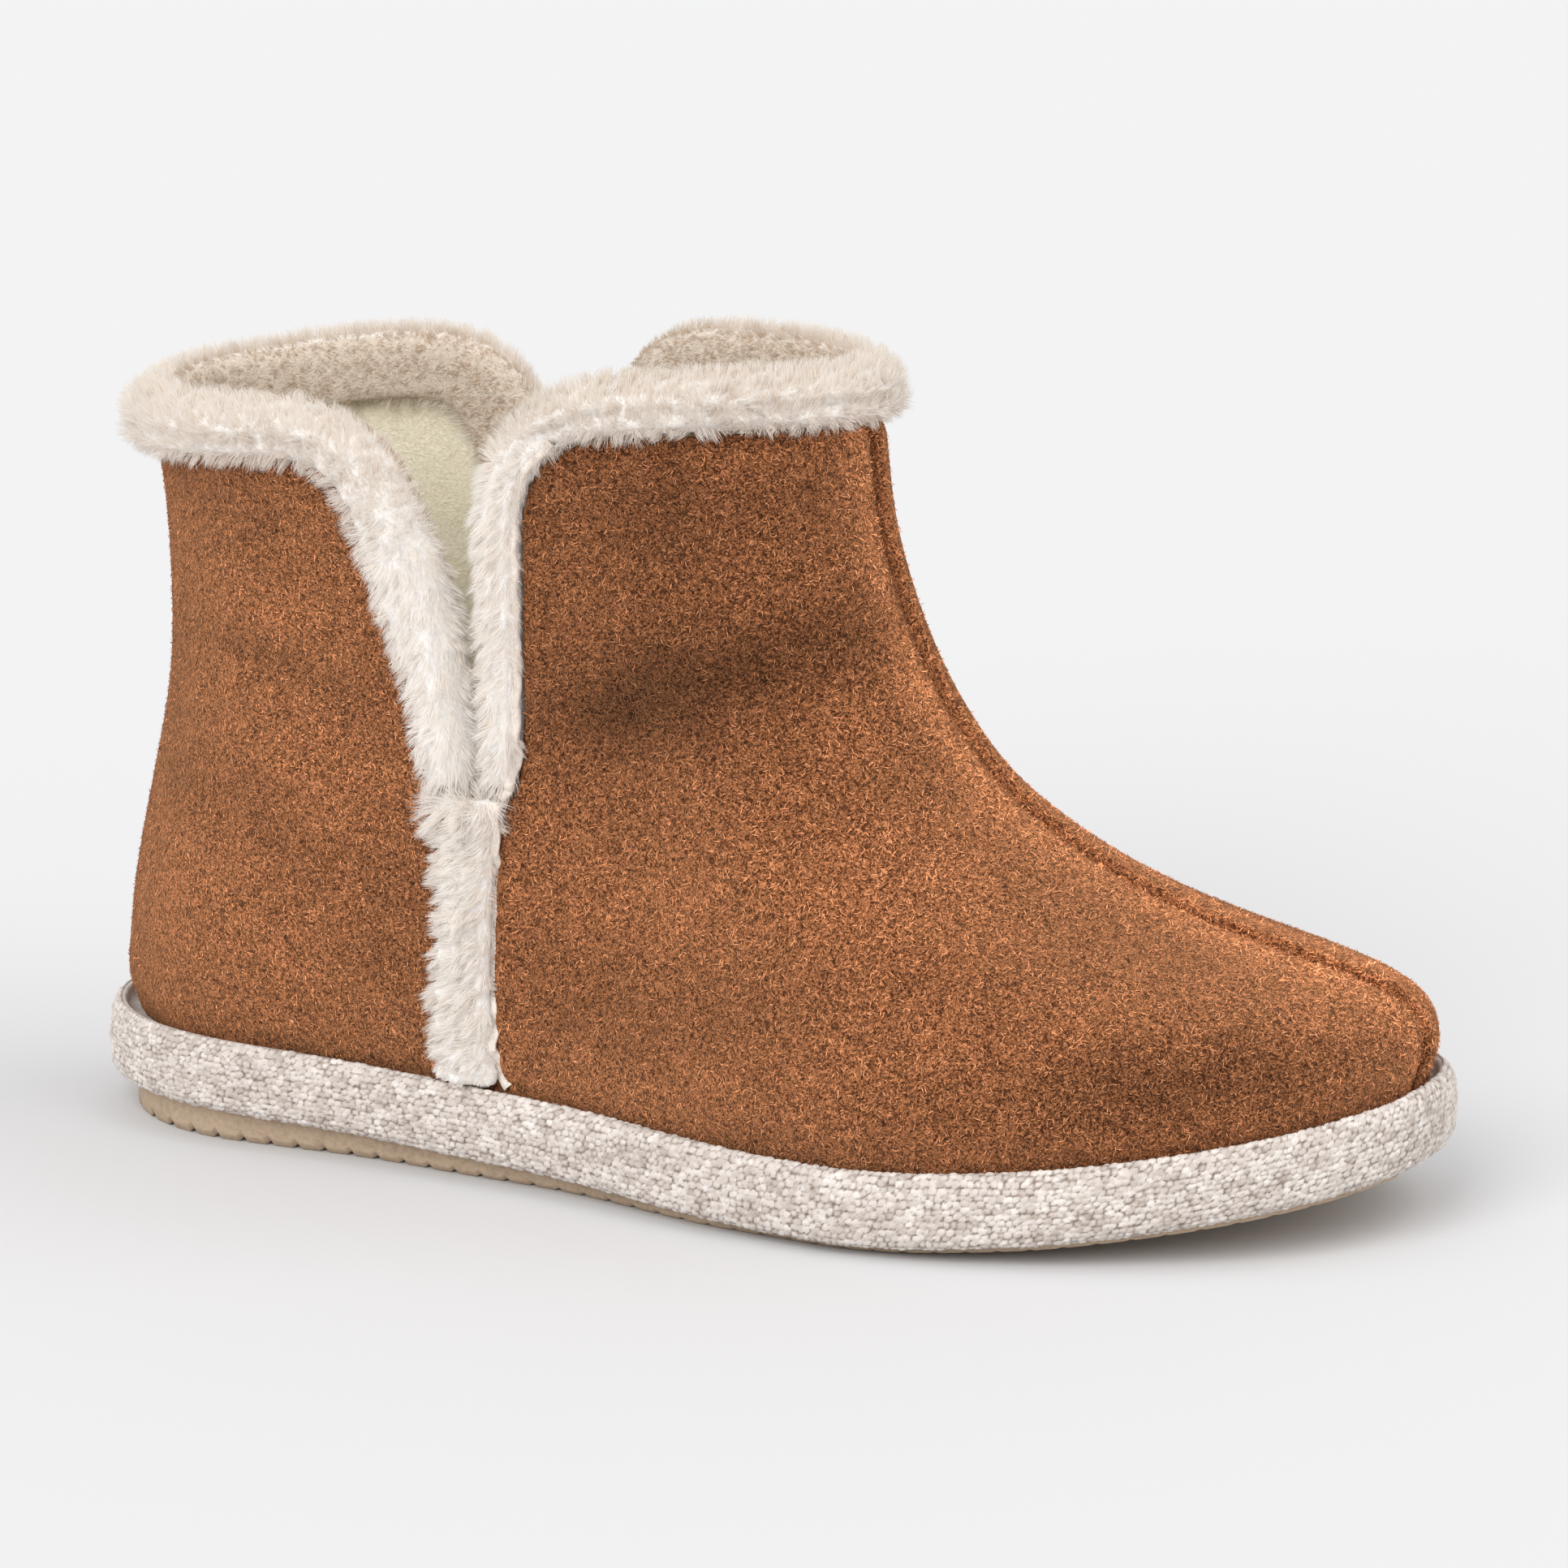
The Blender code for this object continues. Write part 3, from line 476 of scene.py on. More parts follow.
def fold_depths(points, rows):
    """Depth of all folds together at each point, read from the side."""
    total = np.zeros(len(points))
    for start_x, start_z, end_x, end_z, width, depth in rows:
        line = np.array([end_x - start_x, end_z - start_z])
        away = points[:, [0, 2]] - (start_x, start_z)
        share = np.clip(away @ line / (line @ line), 0, 1)
        distance = np.linalg.norm(away - share[:, None] * line, axis=1)
        fullness = FOLD_ENDS + (1 - FOLD_ENDS) * np.sin(math.pi * share)
        total += depth * np.exp(-(distance / width) ** 2) * fullness
    return total


def light_and_shade_patches(points, rows):
    """Painted shade (below 0) and painted highlight (above 0) of all patches together at each point, read from the
    side.
    """
    total = np.zeros(len(points))
    for x, z, long, short, tilt, strength in rows:
        turn = math.radians(tilt)
        east, north = points[:, 0] - x, points[:, 2] - z
        along = (east * math.cos(turn) + north * math.sin(turn)) / long
        across = (north * math.cos(turn) - east * math.sin(turn)) / short
        total += strength * np.exp(-along ** 2 - across ** 2)
    return total


def seam_line(x):
    """The front seam's place across the shoe, swinging inwards at the toe."""
    return TOE_SWING * np.clip(x / HALF_LENGTH, 0, 1) ** 2 - CENTRE_Y


def gutter_shares(points):
    """How deep each point lies in the two gutters beside the seam strip, 0 to 1."""
    beside = np.abs(points[:, 1] - seam_line(points[:, 0]))
    front = (np.clip((points[:, 0] - SEAM_START_X) / SEAM_EASE, 0, 1)
             * np.clip((points[:, 2] - SEAM_START_Z) / SEAM_EASE, 0, 1))
    return front * np.exp(-((beside - GUTTER_PLACE) / GUTTER_WIDTH) ** 2)


def mottled(points):
    """Soft uneven shade of the nap, from waves of many directions."""
    chance = np.random.default_rng(9)
    total = np.zeros(len(points))
    for wave in range(MOTTLE_WAVES):
        way = chance.normal(size=3)
        length = chance.uniform(*MOTTLE_LENGTHS)
        phase = chance.uniform(0, 2 * math.pi)
        total += np.sin(points @ (way / np.linalg.norm(way)) * 2 * math.pi / length + phase)
    return MOTTLE_SHARE * total / math.sqrt(MOTTLE_WAVES)


def painted_light_and_mottle(points):
    """Painted light and mottle of the nap: painted patches, a painted highlight by the seam, a random mottle, and
    painted shade in the gutters and at the foot.
    """
    beside = np.abs(points[:, 1] - seam_line(points[:, 0]))
    # Painted highlight along both sides of the front seam
    seam_highlight = (np.clip((points[:, 0] - SEAM_START_X) / SEAM_HIGHLIGHT_EASE, 0, 1)
               * np.exp(-((beside - SEAM_HIGHLIGHT_PLACE) / SEAM_HIGHLIGHT_WIDTH) ** 2))
    foot = np.array([platform_rays.find_nearest(Vector(point))[3] for point in points])
    return (LIGHT_AND_SHADE_PATCH_SHARE * light_and_shade_patches(points, LATERAL_LIGHT_AND_SHADE_PATCHES) + SEAM_HIGHLIGHT * seam_highlight + mottled(points)
            - GUTTER_SHADE * gutter_shares(points) - FOOT_SHADE * np.exp(-(foot / FOOT_REACH) ** 2))


def sum_of(tree, kind, first, second=0.0):
    """One sum worked out by a material: ADD, SUBTRACT, MULTIPLY or ABSOLUTE."""
    return add_node(tree, "ShaderNodeMath", {0: first, 1: second}, operation=kind).outputs[0]


def curly(tree, size, width, shift):
    """Curling ridges, 0 to 1, highest where a noise crosses its middle."""
    place = add_node(tree, "ShaderNodeTexCoord").outputs["Object"]
    moved = add_node(tree, "ShaderNodeVectorMath", {0: place, 1: (shift, shift, shift)}, operation="ADD")
    field = add_node(tree, "ShaderNodeTexNoise", {"Vector": moved.outputs[0], "Scale": 1 / size, "Detail": 1.5,
                                                  "Roughness": 0.55, "Distortion": 1.1}).outputs["Fac"]
    off = sum_of(tree, "ABSOLUTE", sum_of(tree, "SUBTRACT", field, 0.5))
    return add_node(tree, "ShaderNodeMapRange", {"Value": off, "From Min": 0.0, "From Max": width,
                                                 "To Min": 1.0, "To Max": 0.0}).outputs["Result"]


def paint_with_painted_light(tree, shader, colour, cloudy=1.0):
    """Gives a shader a colour, darker or lighter by the painted light and mottle that the vertices carry and as
    the cloudy share says.
    """
    shade = sum_of(tree, "MULTIPLY", sum_of(tree, "ADD", reading(tree, "mottle_and_shade"), 1.0), cloudy)
    shaded = add_node(tree, "ShaderNodeVectorMath", {0: colour, "Scale": shade}, operation="SCALE")
    tree.links.new(shaded.outputs["Vector"], shader.inputs["Base Color"])


def vertex_arrays(piece):
    """Places and normals of a piece's vertices."""
    count = len(piece.data.vertices)
    places = np.zeros(count * 3)
    normals = np.zeros(count * 3)
    piece.data.vertices.foreach_get("co", places)
    piece.data.vertices.foreach_get("normal", normals)
    return places.reshape(-1, 3), normals.reshape(-1, 3)


upper = dressed_copy("upper", "upper_suede")
upper_faces = upper.data.polygons
seed = min(upper_faces, key=lambda face: (face.center - Vector(OUTER_SEED)).length)
inner_seed = min(upper_faces, key=lambda face: (face.center - Vector(OUTER_SEED)).length
                 + (0 if face.normal.dot(seed.normal) < BACK_TO_BACK else 1))
inner_index = inner_seed.index
bpy.ops.object.mode_set(mode="EDIT")
bpy.ops.mesh.select_mode(type="FACE")
bpy.ops.mesh.select_all(action="DESELECT")
bpy.ops.object.mode_set(mode="OBJECT")
upper.data.polygons[inner_index].select = True
bpy.ops.object.mode_set(mode="EDIT")
bpy.ops.mesh.faces_select_linked_flat(sharpness=math.radians(FLEECE_TURN_DEG))
bpy.ops.object.mode_set(mode="OBJECT")
for face in upper.data.polygons:
    face.material_index = 1 if face.select else 0
finished(upper, "SUBSURF", levels=2, render_levels=2)

suede, tree, shader = new_look("brushed_suede", 0.95, 0.08, sheen=0.55, sheen_roughness=0.32,
                               tint=paint(SUEDE_BLOOM))
coarser = curly(tree, CURL, CURL_WIDTH, 0.0)
finer = curly(tree, CURL * FINER_CURL, CURL_WIDTH, FINER_SHIFT)
curls = sum_of(tree, "MULTIPLY", sum_of(tree, "ADD", coarser, finer), 0.5)
nap = ramp(tree, curls, [(0.22, SUEDE_DARK), (0.56, SUEDE_MID), (0.88, SUEDE_LIGHT)])
soft_clouds = noise(tree, CLOUD, detail=3, roughness=0.55)
cloudy = add_node(tree, "ShaderNodeMapRange", {"Value": soft_clouds, "From Min": 0.3, "From Max": 0.7,
                                               "To Min": CLOUD_SHADES[0], "To Max": CLOUD_SHADES[1]})
paint_with_painted_light(tree, shader, nap, cloudy.outputs["Result"])
bumped(tree, shader, curls, CURL_DEPTH, 0.8)
upper.data.materials.append(suede)
upper.data.materials.append(fleece)

places, normals = vertex_arrays(upper)
inside = np.zeros(len(places), bool)
for face in upper.data.polygons:
    if face.material_index == 1:
        inside[list(face.vertices)] = True
away = np.where(inside[:, None], -normals, normals)
depth = np.where(places[:, 1] < 0, fold_depths(places, LATERAL_FOLDS), fold_depths(places, MEDIAL_FOLDS))
off_seam = np.clip((np.abs(places[:, 1]) - UNFOLDED_BESIDE_SEAM) / FOLD_EASE, 0, 1)
places -= away * (depth * off_seam)[:, None]
places -= normals * (GUTTER_DEPTH * gutter_shares(places) * ~inside)[:, None]
upper.data.vertices.foreach_set("co", places.astype(np.float32).ravel())
upper.data.update()
# The suede's vertices carry painted shade and painted highlight, with a random mottle
marked(upper, "mottle_and_shade", painted_light_and_mottle(places))
upper_rays = surface_of(upper)


# Nap: the suede's own short curled fibres, raised by brushing. Each is a bent sliver lying on the skin, combed
# towards the toe over the heel and left to curl over the vamp.
NAP_COUNT = 90000
NAP_LENGTH = 0.0014
NAP_LENGTHS = (0.6, 1.25)
NAP_WIDTH = 0.00019
NAP_WIDTHS = (0.7, 1.3)
NAP_ROOT = 0.0001
NAP_COMBED = (0.9, 0.0, -0.35)
COMBING = 1.3
COMBED_FROM_X = -0.028
COMBED_EASE = 0.02
LEAST_COMBED = 0.15
NAP_BEND = 1.2
COMBED_STRAIGHTER = 0.6
NAP_STANDS = (0.15, 0.5)
# How far a fibre reaches ahead, sideways and up at its middle and at its tip, in shares of its length
NAP_MIDDLE = (0.50, 0.28, 0.35)
NAP_TIP = (0.90, 0.75, 0.75)
NAP_BLOOM = (255, 196, 148)
NAP_LIGHT = (236, 160, 110)
NAP_DARK = (88, 50, 30)
NAP_CLUMPS = ((0.00060, 0.40), (0.00105, 0.25))
NAP_CONTRAST = 2.1
NAP_SHORTEST = 0.3
CLUMP_TONES = 65536
CLUMP_STEPS = (7321, 1931, 8389)


def unit(vectors):
    """Vectors of length 1 in the same directions."""
    return vectors / np.maximum(np.linalg.norm(vectors, axis=-1, keepdims=True), 1e-12)


def scattered(piece, count, seed, chosen):
    """Even random spots on the chosen faces of a piece: (places, normals)."""
    mesh = piece.data
    mesh.calc_loop_triangles()
    corners = np.zeros(len(mesh.loop_triangles) * 3, int)
    mesh.loop_triangles.foreach_get("vertices", corners)
    of_face = np.zeros(len(mesh.loop_triangles), int)
    mesh.loop_triangles.foreach_get("polygon_index", of_face)
    corners = corners.reshape(-1, 3)[chosen[of_face]]
    spots, normals = vertex_arrays(piece)
    a, b, c = (spots[corners[:, k]] for k in range(3))
    area = np.linalg.norm(np.cross(b - a, c - a), axis=1)
    chance = np.random.default_rng(seed)
    picked = chance.choice(len(corners), count, p=area / area.sum())
    first, second = chance.random((2, count, 1))
    folded = first + second > 1
    first, second = np.where(folded, 1 - first, first), np.where(folded, 1 - second, second)
    corner = corners[picked]
    place = a[picked] + (b - a)[picked] * first + (c - a)[picked] * second
    normal = (normals[corner[:, 0]] * (1 - first - second) + normals[corner[:, 1]] * first
              + normals[corner[:, 2]] * second)
    return place, unit(normal)


def clumped(points, size, chance):
    """One random number for all points of each small cell."""
    cell = np.floor(points / size).astype(int)
    values = chance.uniform(0, 1, CLUMP_TONES)
    return values[cell @ np.array(CLUMP_STEPS) % CLUMP_TONES]


suede_faces = np.array([face.material_index == 0 for face in upper.data.polygons])
spots, lifts = scattered(upper, NAP_COUNT, 11, suede_faces)
chance = np.random.default_rng(12)
lean = unit(np.cross(lifts, chance.normal(size=spots.shape)))
combed = np.clip((COMBED_FROM_X - spots[:, :1]) / COMBED_EASE, LEAST_COMBED, 1)
lean = lean + np.array(NAP_COMBED) * combed * COMBING
lean = unit(lean - lifts * np.sum(lean * lifts, axis=1)[:, None])
side = np.cross(lifts, lean)
tone = (1 - sum(weight for size, weight in NAP_CLUMPS)) * chance.uniform(0, 1, NAP_COUNT)
for size, weight in NAP_CLUMPS:
    tone += weight * clumped(spots, size, chance)
tone = np.clip(0.5 + (tone - 0.5) * NAP_CONTRAST, 0, 1)
long = (NAP_LENGTH * chance.uniform(*NAP_LENGTHS, (NAP_COUNT, 1))
        * (NAP_SHORTEST + (1 - NAP_SHORTEST) * tone[:, None]))
bend = chance.uniform(-1.0, 1.0, (NAP_COUNT, 1)) * (NAP_BEND - COMBED_STRAIGHTER * combed)
stand = chance.uniform(*NAP_STANDS, (NAP_COUNT, 1))
middle, tip = (spots + long * (ahead * lean + over * bend * side + up * stand * lifts)
               for ahead, over, up in (NAP_MIDDLE, NAP_TIP))
root = spots - lifts * NAP_ROOT
wide = NAP_WIDTH * chance.uniform(*NAP_WIDTHS, (NAP_COUNT, 1)) / 2
fibres_of = np.stack([root, middle - side * wide, middle + side * wide, tip], axis=1)
index = 4 * np.arange(NAP_COUNT)[:, None, None]
slivers = (index + np.array([[0, 2, 1], [1, 2, 3]])).reshape(-1, 3)
nap_piece = mesh_piece("suede_nap", fibres_of.reshape(-1, 3), slivers)
marked(nap_piece, "tone", np.repeat(tone, 4))
# The fibres carry the same painted shade and painted highlight as the suede under them
marked(nap_piece, "mottle_and_shade", np.repeat(painted_light_and_mottle(spots), 4))
nap_look, tree, shader = new_look("suede_fibre", 0.9, 0.1, sheen=0.4, sheen_roughness=0.35,
                                  tint=paint(NAP_BLOOM))
paint_with_painted_light(tree, shader, ramp(tree, reading(tree, "tone"), [(0.0, NAP_DARK), (1.0, NAP_LIGHT)]))
nap_piece.data.materials.append(nap_look)


# Fur: long cream faux fur, cut in bands, rolled round the edge of the suede and stitched down inside. Each
# band is a smooth copy of its solid under a pile of tapered hairs, drawn together into locks.
FUR_LIGHT = (255, 255, 254)
FUR_MID = (254, 252, 250)
# Painted shade at the roots of the hairs, where the pile shadows itself
FUR_ROOT_SHADE = (251, 247, 243)
# Warm tinge of the collar, and painted shade on the hairs that face into the shaft
FUR_WARM_AND_SHADE = (219, 206, 191)
LOCK_SHADE = (250, 246, 241)
FUR_THROUGH = 0.55
TANGLE = 0.0012
TANGLE_DEPTH = 0.0008
# How much of the warm tinge the collar takes, and how much painted shade the hairs facing into the shaft take
COLLAR_WARMTH = 0.25
INNER_SHADE = 1.0
HAIR_WIDTH = 0.00013
HAIR_WIDTHS = (0.7, 1.3)
HAIR_LENGTHS = (0.6, 1.12)
HAIR_LEAN = 0.12
HAIR_TURN = 0.8
HAIR_ROOT = 0.0003
HAIR_BEND = 0.55
HAIR_NARROWING = 0.85
DROOP_AHEAD = 0.35
DROOP_DOWN = (0, 0, -0.10)
HAIRS_PER_LOCK = 24
LOCK_LEAN = 0.17
LOCK_REACH = 0.95
LOCK_TONE = 0.6
SHAFT_AXIS_X = -0.050
COLLAR_EASE = 0.014
INNER_EASE = 0.5
COVERED_LIFT = 0.0001
COVERED_REACH = 0.0022
EDGE_REACH = 0.0022
EDGE_SHORTEST = 0.4
JOIN_HEIGHT = 0.0715
JOIN_REACH = 0.0060
JOIN_LENGTH = 0.0066
JOIN_BACKWARD = -0.2
INNER_SHORTER = 0.7
INNER_LAY = 0.79
INNER_FLOW = (-0.8, 0.0, 0.1)
LOCK_PULL = 0.4
LOCK_PULL_POWER = 1.3
PLATFORM_TOP = 0.0180
PLATFORM_EASE = 0.008
PLATFORM_SHORTEST = 0.25
BAND_ROOTS = 62000
STRIP_ROOTS = 14000
PILE_LENGTH = 0.0034
FRONT_SLIT_LENGTH = 0.0038
STRIP_LAY = 0.78
STRIP_FLOW = (-0.7, 0.0, -0.3)
ABOVE_STRIPS = 0.2
# Each band's node and number of hairs, then pairs of the pile's length, lay and flow low on the slit and up at the
# collar, the height where the one becomes the other, the flow at the join of band and strip, and a seed
PILE_TABLE = (
    ("fur_trim_back", BAND_ROOTS, (PILE_LENGTH, PILE_LENGTH), (0.55, 0.50),
     ((-0.35, 0.0, -0.7), (-0.1, 0.0, 0.8)), 0.114, -1.0, 21),
    ("fur_trim_front", BAND_ROOTS, (FRONT_SLIT_LENGTH, PILE_LENGTH), (0.72, 0.55),
     ((-0.7, 0.0, -0.6), (0.1, 0.0, 0.9)), 0.128, -1.0, 22),
    ("fur_strip_lateral", STRIP_ROOTS, (PILE_LENGTH, PILE_LENGTH), (STRIP_LAY, STRIP_LAY),
     (STRIP_FLOW, STRIP_FLOW), ABOVE_STRIPS, -0.6, 23),
    ("fur_strip_medial", STRIP_ROOTS, (PILE_LENGTH, PILE_LENGTH), (STRIP_LAY, STRIP_LAY),
     (STRIP_FLOW, STRIP_FLOW), ABOVE_STRIPS, -0.6, 24),
)


def warmed_and_shaded(tree, colour):
    """A colour with the warm tinge of the collar and the painted shade on hairs that face into the shaft."""
    return mixed(tree, reading(tree, "warmth_and_shade"), colour, mixed(tree, 1.0, colour, paint(FUR_WARM_AND_SHADE), "MULTIPLY"))


fur, tree, shader = new_look("faux_fur", 0.85, 0.15, sheen=0.2, sheen_roughness=0.35)
# Each hair is painted a little darker at its root, a painted shade of the pile above
strand = ramp(tree, reading(tree, "along"), [(0.0, FUR_ROOT_SHADE), (0.45, FUR_MID), (1.0, FUR_LIGHT)])
shaded = mixed(tree, 1.0, strand, paint(LOCK_SHADE), "MULTIPLY")
strand = warmed_and_shaded(tree, mixed(tree, reading(tree, "tone"), strand, shaded))
tree.links.new(strand, shader.inputs["Base Color"])
let_through = add_node(tree, "ShaderNodeBsdfTranslucent", {"Color": strand}).outputs["BSDF"]
both = add_node(tree, "ShaderNodeMixShader", {0: FUR_THROUGH, 1: shader.outputs["BSDF"], 2: let_through})
tree.links.new(both.outputs["Shader"], tree.nodes["Material Output"].inputs["Surface"])

fur_base, tree, shader = new_look("fur_backing", 0.95, 0.1, sheen=0.3)
tangle = noise(tree, TANGLE, detail=4, roughness=0.7, distortion=1.2)
# The backing is painted in the hairs' root shade, and takes the painted shade inside the shaft
matted = warmed_and_shaded(tree, ramp(tree, tangle, [(0.3, FUR_ROOT_SHADE), (0.65, FUR_MID)]))
tree.links.new(matted, shader.inputs["Base Color"])
bumped(tree, shader, tangle, TANGLE_DEPTH, 0.8)


def turns(points, lifts, collar_height):
    """Columns of how far each point is up on the collar and faces the inside of the shaft, and of its warm tinge
    with painted shade: 0 to 1.
    """
    collar = np.clip((points[:, 2:] - collar_height) / COLLAR_EASE, 0, 1)
    to_axis = unit(np.array([SHAFT_AXIS_X, 0.0, 0.0]) - points * (1, 1, 0))
    inner = np.clip(np.sum(lifts * to_axis, axis=1)[:, None] / INNER_EASE, 0, 1)
    return collar, inner, np.clip(COLLAR_WARMTH * collar + INNER_SHADE * inner, 0, 1)


def between(pair, share):
    """What lies between the two of a pair, by a share from 0 to 1 for each point."""
    first, second = (np.array(value) for value in pair)
    return first * (1 - share) + second * share


def grow_pile(node, hairs, lengths, lays, flows, collar_height, join_flow, seed):
    """A band of fur: its backing, and a pile of hairs that lean out with the flow and gather in locks."""
    backing = dressed_copy(node, node + "_backing")
    finished(backing, "SUBSURF", levels=1, render_levels=1)
    backing.data.materials.append(fur_base)
    faces = backing.data.polygons
    open_face = np.ones(len(faces), bool)
    for face in faces:
        hit = upper_rays.ray_cast(face.center + face.normal * COVERED_LIFT, face.normal, COVERED_REACH)
        open_face[face.index] = hit[0] is None
    marked(backing, "warmth_and_shade", turns(*vertex_arrays(backing), collar_height)[2])
    roots, lifts = scattered(backing, hairs, seed, open_face)
    chance = np.random.default_rng(seed + 100)
    collar, inner, warmth_and_shade = turns(roots, lifts, collar_height)
    length, lay, stream = (between(pair, collar) for pair in (lengths, lays, flows))
    length = length * np.clip((roots[:, 2:] - PLATFORM_TOP) / PLATFORM_EASE, PLATFORM_SHORTEST, 1)
    beside = np.array([upper_rays.find_nearest(Vector(place))[3] for place in roots])[:, None]
    length = length * np.clip(beside / EDGE_REACH, EDGE_SHORTEST, 1)
    join = np.clip(1 - np.abs(roots[:, 2:] - JOIN_HEIGHT) / JOIN_REACH, 0, 1)
    stream = stream * (1 - join) + np.array([JOIN_BACKWARD, 0.0, join_flow]) * join
    length = length * (1 - join) + JOIN_LENGTH * join
    length = length * (1 - INNER_SHORTER * inner)
    lay = lay + (INNER_LAY - lay) * inner
    stream = stream + (np.array(INNER_FLOW) - stream) * inner

    count = len(roots) // HAIRS_PER_LOCK
    lock_root = chance.choice(len(roots), count, replace=False)
    lock_places = KDTree(count)
    for index, place in enumerate(roots[lock_root]):
        lock_places.insert(place, index)
    lock_places.balance()
    lock = np.array([lock_places.find(place)[1] for place in roots])
    lock_lean = chance.normal(0, LOCK_LEAN, (count, 3))
    lock_tone = chance.uniform(0, 1, count)

    tangent = stream - lifts * np.sum(lifts * stream, axis=1)[:, None]
    way = unit(lifts * (1 - lay) + tangent * lay + lock_lean[lock] + chance.normal(0, HAIR_LEAN, roots.shape))
    long = length * chance.uniform(*HAIR_LENGTHS, (len(roots), 1))
    droop = tangent * DROOP_AHEAD + np.array(DROOP_DOWN)
    lock_tip = (roots + way * length * LOCK_REACH)[lock_root]

    points = []
    for share in (0.0, HAIR_BEND, 1.0):
        free = roots + way * long * share + droop * long * share ** 2
        gathered = roots + (lock_tip[lock] - roots) * share
        pull = LOCK_PULL * share ** LOCK_PULL_POWER
        points.append(free * (1 - pull) + gathered * pull)
    root, bend, tip = points
    root = root - lifts * HAIR_ROOT
    side = unit(np.cross(way, lifts * 0.6 + chance.normal(0, HAIR_TURN, roots.shape)))
    wide = side * HAIR_WIDTH * chance.uniform(*HAIR_WIDTHS, (len(roots), 1)) / 2
    narrow = wide * HAIR_NARROWING
    ribs = [root - wide, root + wide, bend - narrow, bend + narrow, tip]
    index = 5 * np.arange(len(roots))[:, None, None]
    slivers = (index + np.array([[0, 1, 3], [0, 3, 2], [2, 3, 4]])).reshape(-1, 3)
    piece = mesh_piece(node + "_pile", np.stack(ribs, axis=1).reshape(-1, 3), slivers)
    tone = np.clip(lock_tone[lock] * LOCK_TONE + chance.uniform(0, 1 - LOCK_TONE, len(roots)), 0, 1)
    marked(piece, "tone", np.repeat(tone, 5))
    marked(piece, "along", np.tile([0, 0, HAIR_BEND, HAIR_BEND, 1.0], len(roots)))
    marked(piece, "warmth_and_shade", np.repeat(warmth_and_shade, 5))
    piece.data.materials.append(fur)


for row in PILE_TABLE:
    grow_pile(*row)


# Edge tape: the knitted selvedge of the fur, turned under and left showing where fur meets the front quarter.
# It is a smooth piping beside the V, curled in at the band's rounded end, and a ribbed cord down the strip.
TAPE_LIGHT = (240, 231, 222)
TAPE_DARK = (222, 210, 198)
TAPE_STATIONS = 200
TAPE_WAVE = 0.00015
TAPE_WAVES_PER_M = 900
TAPE_SIDES = 24
TAPE_EASE = 5
KNIT_BUMP = 0.12
KNIT_TURN = 2.1
RIB_GROOVE = 0.45
STITCH = 0.0006
STITCH_DEPTH = 0.0003
PIPING_WIDTH = 0.0018
PIPING_RISE = 0.0007
CORD_WIDTH = 0.0026
CORD_RISE = 0.0006
CORD_RIBS = 3
TAPE_SINK = 0.0014
PIPING_PATH = (
    (-0.0364, 0.0716),
    (-0.0352, 0.0726),
    (-0.0343, 0.0746),
    (-0.0338, 0.0790),
    (-0.0334, 0.0900),
    (-0.0334, 0.1215),
    (-0.0325, 0.1280),
    (-0.0297, 0.1335),
    (-0.0250, 0.1378),
)
CORD_PATH = (
    (-0.0340, 0.0186),
    (-0.0360, 0.0210),
    (-0.0372, 0.0250),
    (-0.0376, 0.0400),
    (-0.0376, 0.0610),
    (-0.0369, 0.0732),
)


def edge_tape(name, side, path, width, rise, ribs):
    """Tape down one side of the shoe, laid on whatever the eye would see there."""
    strip = "fur_strip_lateral" if side < 0 else "fur_strip_medial"
    rays = [surface_of(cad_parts[node]) for node in ("upper", "fur_trim_front", strip)]
    path = resampled(np.array(path), TAPE_STATIONS)
    line = np.zeros((TAPE_STATIONS, 3))
    for station, (x, z) in enumerate(path):
        x += TAPE_WAVE * math.sin(z * TAPE_WAVES_PER_M)
        hits = [ray.ray_cast(Vector((x, side, z)), Vector((0, -side, 0)))[0] for ray in rays]
        y = max(hit.y * side for hit in hits if hit is not None) * side
        line[station] = (x, y, z)
    window = 2 * TAPE_EASE + 1
    line[:, 1] = np.convolve(np.pad(line[:, 1], TAPE_EASE, mode="edge"), np.ones(window) / window, mode="valid")
    ahead = unit(np.gradient(line, axis=0))
    out = np.array([0.0, side, 0.0])
    across = unit(np.cross(ahead, out))
    lift = unit(np.cross(across, ahead))
    lift = lift * np.sign(np.sum(lift * out, axis=1))[:, None]
    knit = 1 + KNIT_BUMP * np.sin(np.arange(len(line)) * KNIT_TURN)[:, None]
    rings = []
    for turn in np.linspace(0, 2 * math.pi, TAPE_SIDES, endpoint=False):
        over, up = math.cos(turn), math.sin(turn)
        groove = 1 - RIB_GROOVE * (ribs > 0) * (0.5 + 0.5 * math.cos(over * math.pi * ribs))
        high = rise * groove * knit * up if up > 0 else TAPE_SINK * up
        rings.append(line + across * (over * width / 2) + lift * high)
    piece = wrap_mesh(name, np.stack(rings, axis=0))
    alone(piece)
    bpy.ops.object.mode_set(mode="EDIT")
    bpy.ops.mesh.select_all(action="SELECT")
    bpy.ops.mesh.normals_make_consistent(inside=False)
    bpy.ops.object.mode_set(mode="OBJECT")
    piece.data.materials.append(tape_look)


tape_look, tree, shader = new_look("knitted_tape", 0.85, 0.15, sheen=0.2)
stitches = noise(tree, STITCH, detail=3, roughness=0.6)
tree.links.new(ramp(tree, stitches, [(0.3, TAPE_DARK), (0.6, TAPE_LIGHT)]), shader.inputs["Base Color"])
bumped(tree, shader, stitches, STITCH_DEPTH, 0.7)
for side, sign in (("lateral", -1), ("medial", 1)):
    edge_tape("edge_piping_" + side, sign, PIPING_PATH, PIPING_WIDTH, PIPING_RISE, 0)
    edge_tape("edge_cord_" + side, sign, CORD_PATH, CORD_WIDTH, CORD_RISE, CORD_RIBS)


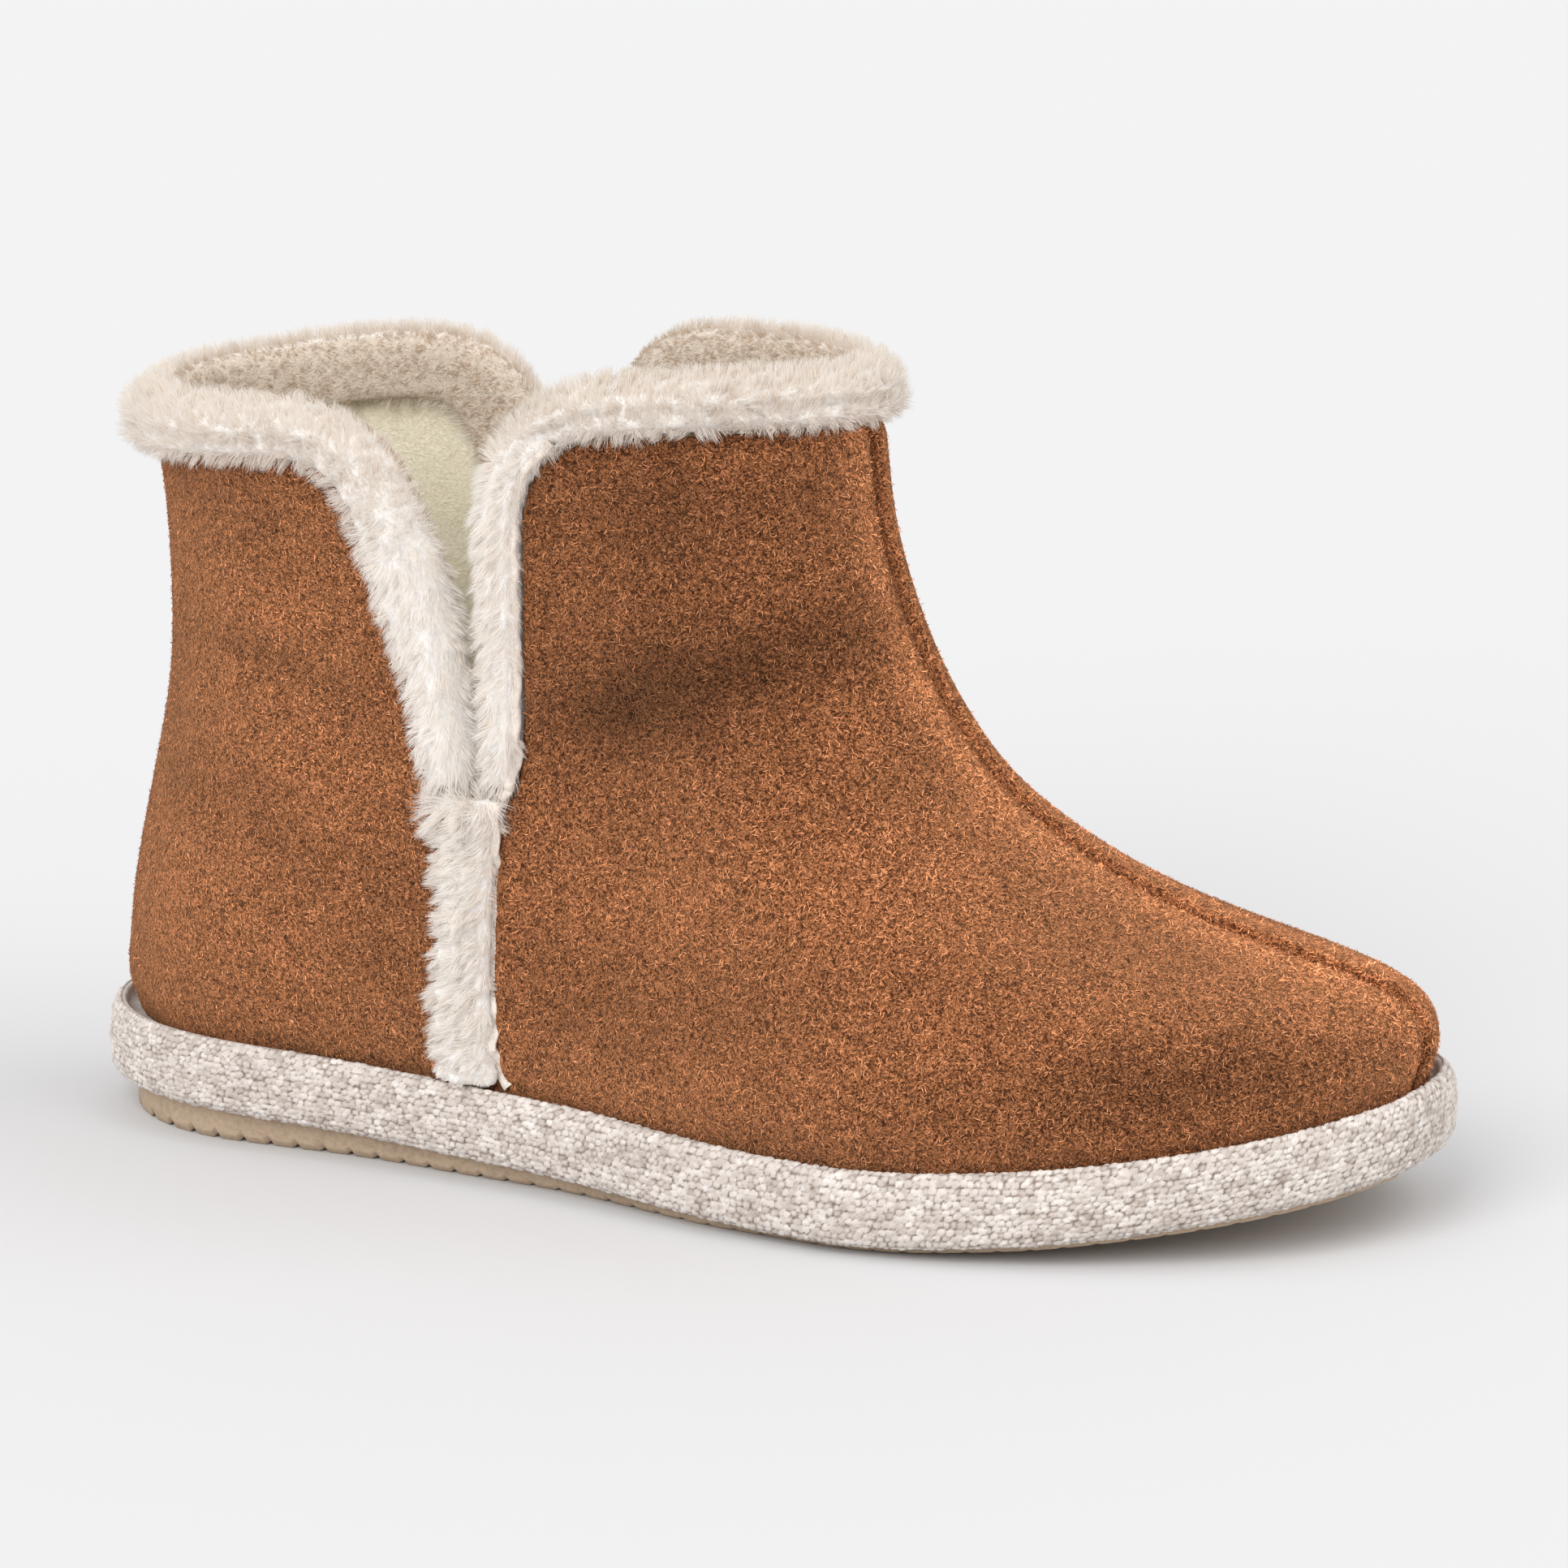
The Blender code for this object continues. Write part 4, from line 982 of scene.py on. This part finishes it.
# Studio: a pale floor without seams, an even white sky, a broad soft key lamp high before the outer side, and a
# fainter one beyond the toe.
FLOOR_TONE = (214, 214, 215)
FLOOR_SIZE = 12.0
SKY_STRENGTH = 0.76
# Each lamp's azimuth and elevation in degrees, its strength, and its spread in degrees
KEY_LAMP = (-8, 38, 1.80, 42)
RIM_LAMP = (100, 42, 1.05, 60)

bpy.ops.object.select_all(action="DESELECT")
bpy.ops.mesh.primitive_plane_add(size=FLOOR_SIZE, location=(0, 0, 0))
floor = bpy.context.object
floor.name = "studio_floor"
floor_look, tree, shader = new_look("matt_floor", 0.9, 0.0)
shader.inputs["Base Color"].default_value = paint(FLOOR_TONE)
floor.data.materials.append(floor_look)

world = bpy.data.worlds.new("studio")
bpy.context.scene.world = world
world.use_nodes = True
sky = world.node_tree.nodes["Background"]
sky.inputs["Color"].default_value = (1, 1, 1, 1)
sky.inputs["Strength"].default_value = SKY_STRENGTH


def direction(azimuth, elevation):
    """Way from the shoe to an azimuth, counted from the outer side to the toe, and an elevation, in degrees."""
    a, e = math.radians(azimuth), math.radians(elevation)
    return Vector((math.sin(a) * math.cos(e), -math.cos(a) * math.cos(e), math.sin(e)))


def soft_lamp(name, azimuth, elevation, strength, spread):
    """Distant lamp that shines from a direction with a wide soft spread."""
    lamp = bpy.data.lights.new(name, "SUN")
    lamp.energy = strength
    lamp.angle = math.radians(spread)
    made = bpy.data.objects.new(name, lamp)
    made.rotation_mode = "QUATERNION"
    made.rotation_quaternion = direction(azimuth, elevation).to_track_quat("Z", "Y")
    bpy.context.scene.collection.objects.link(made)


soft_lamp("key", *KEY_LAMP)
soft_lamp("rim", *RIM_LAMP)


# Camera: a long lens at the photograph's angle, which is on the outer side, turned towards the toe and a little
# above the shoe.
CAMERA_AZIMUTH = 23.40
CAMERA_ELEVATION = 14.67
CAMERA_DISTANCE = 1.5
CAMERA_AIM = Vector((0.0, -0.0021, 0.065))
CAMERA_RIGHT = 0.00518
CAMERA_UP = 0.00541
CAMERA_LENS = 191.3
CAMERA_SENSOR = 36
CAMERA_FAR = 50

back = direction(CAMERA_AZIMUTH, CAMERA_ELEVATION)
right = direction(CAMERA_AZIMUTH + 90, 0)
camera = bpy.data.objects.new("camera", bpy.data.cameras.new("camera"))
bpy.context.scene.collection.objects.link(camera)
camera.data.lens = CAMERA_LENS
camera.data.sensor_width = CAMERA_SENSOR
camera.data.clip_end = CAMERA_FAR
camera.rotation_mode = "QUATERNION"
camera.rotation_quaternion = back.to_track_quat("Z", "Y")
camera.location = CAMERA_AIM + right * CAMERA_RIGHT + back.cross(right) * CAMERA_UP + back * CAMERA_DISTANCE
bpy.context.scene.camera = camera
bpy.context.scene.view_settings.view_transform = "Standard"
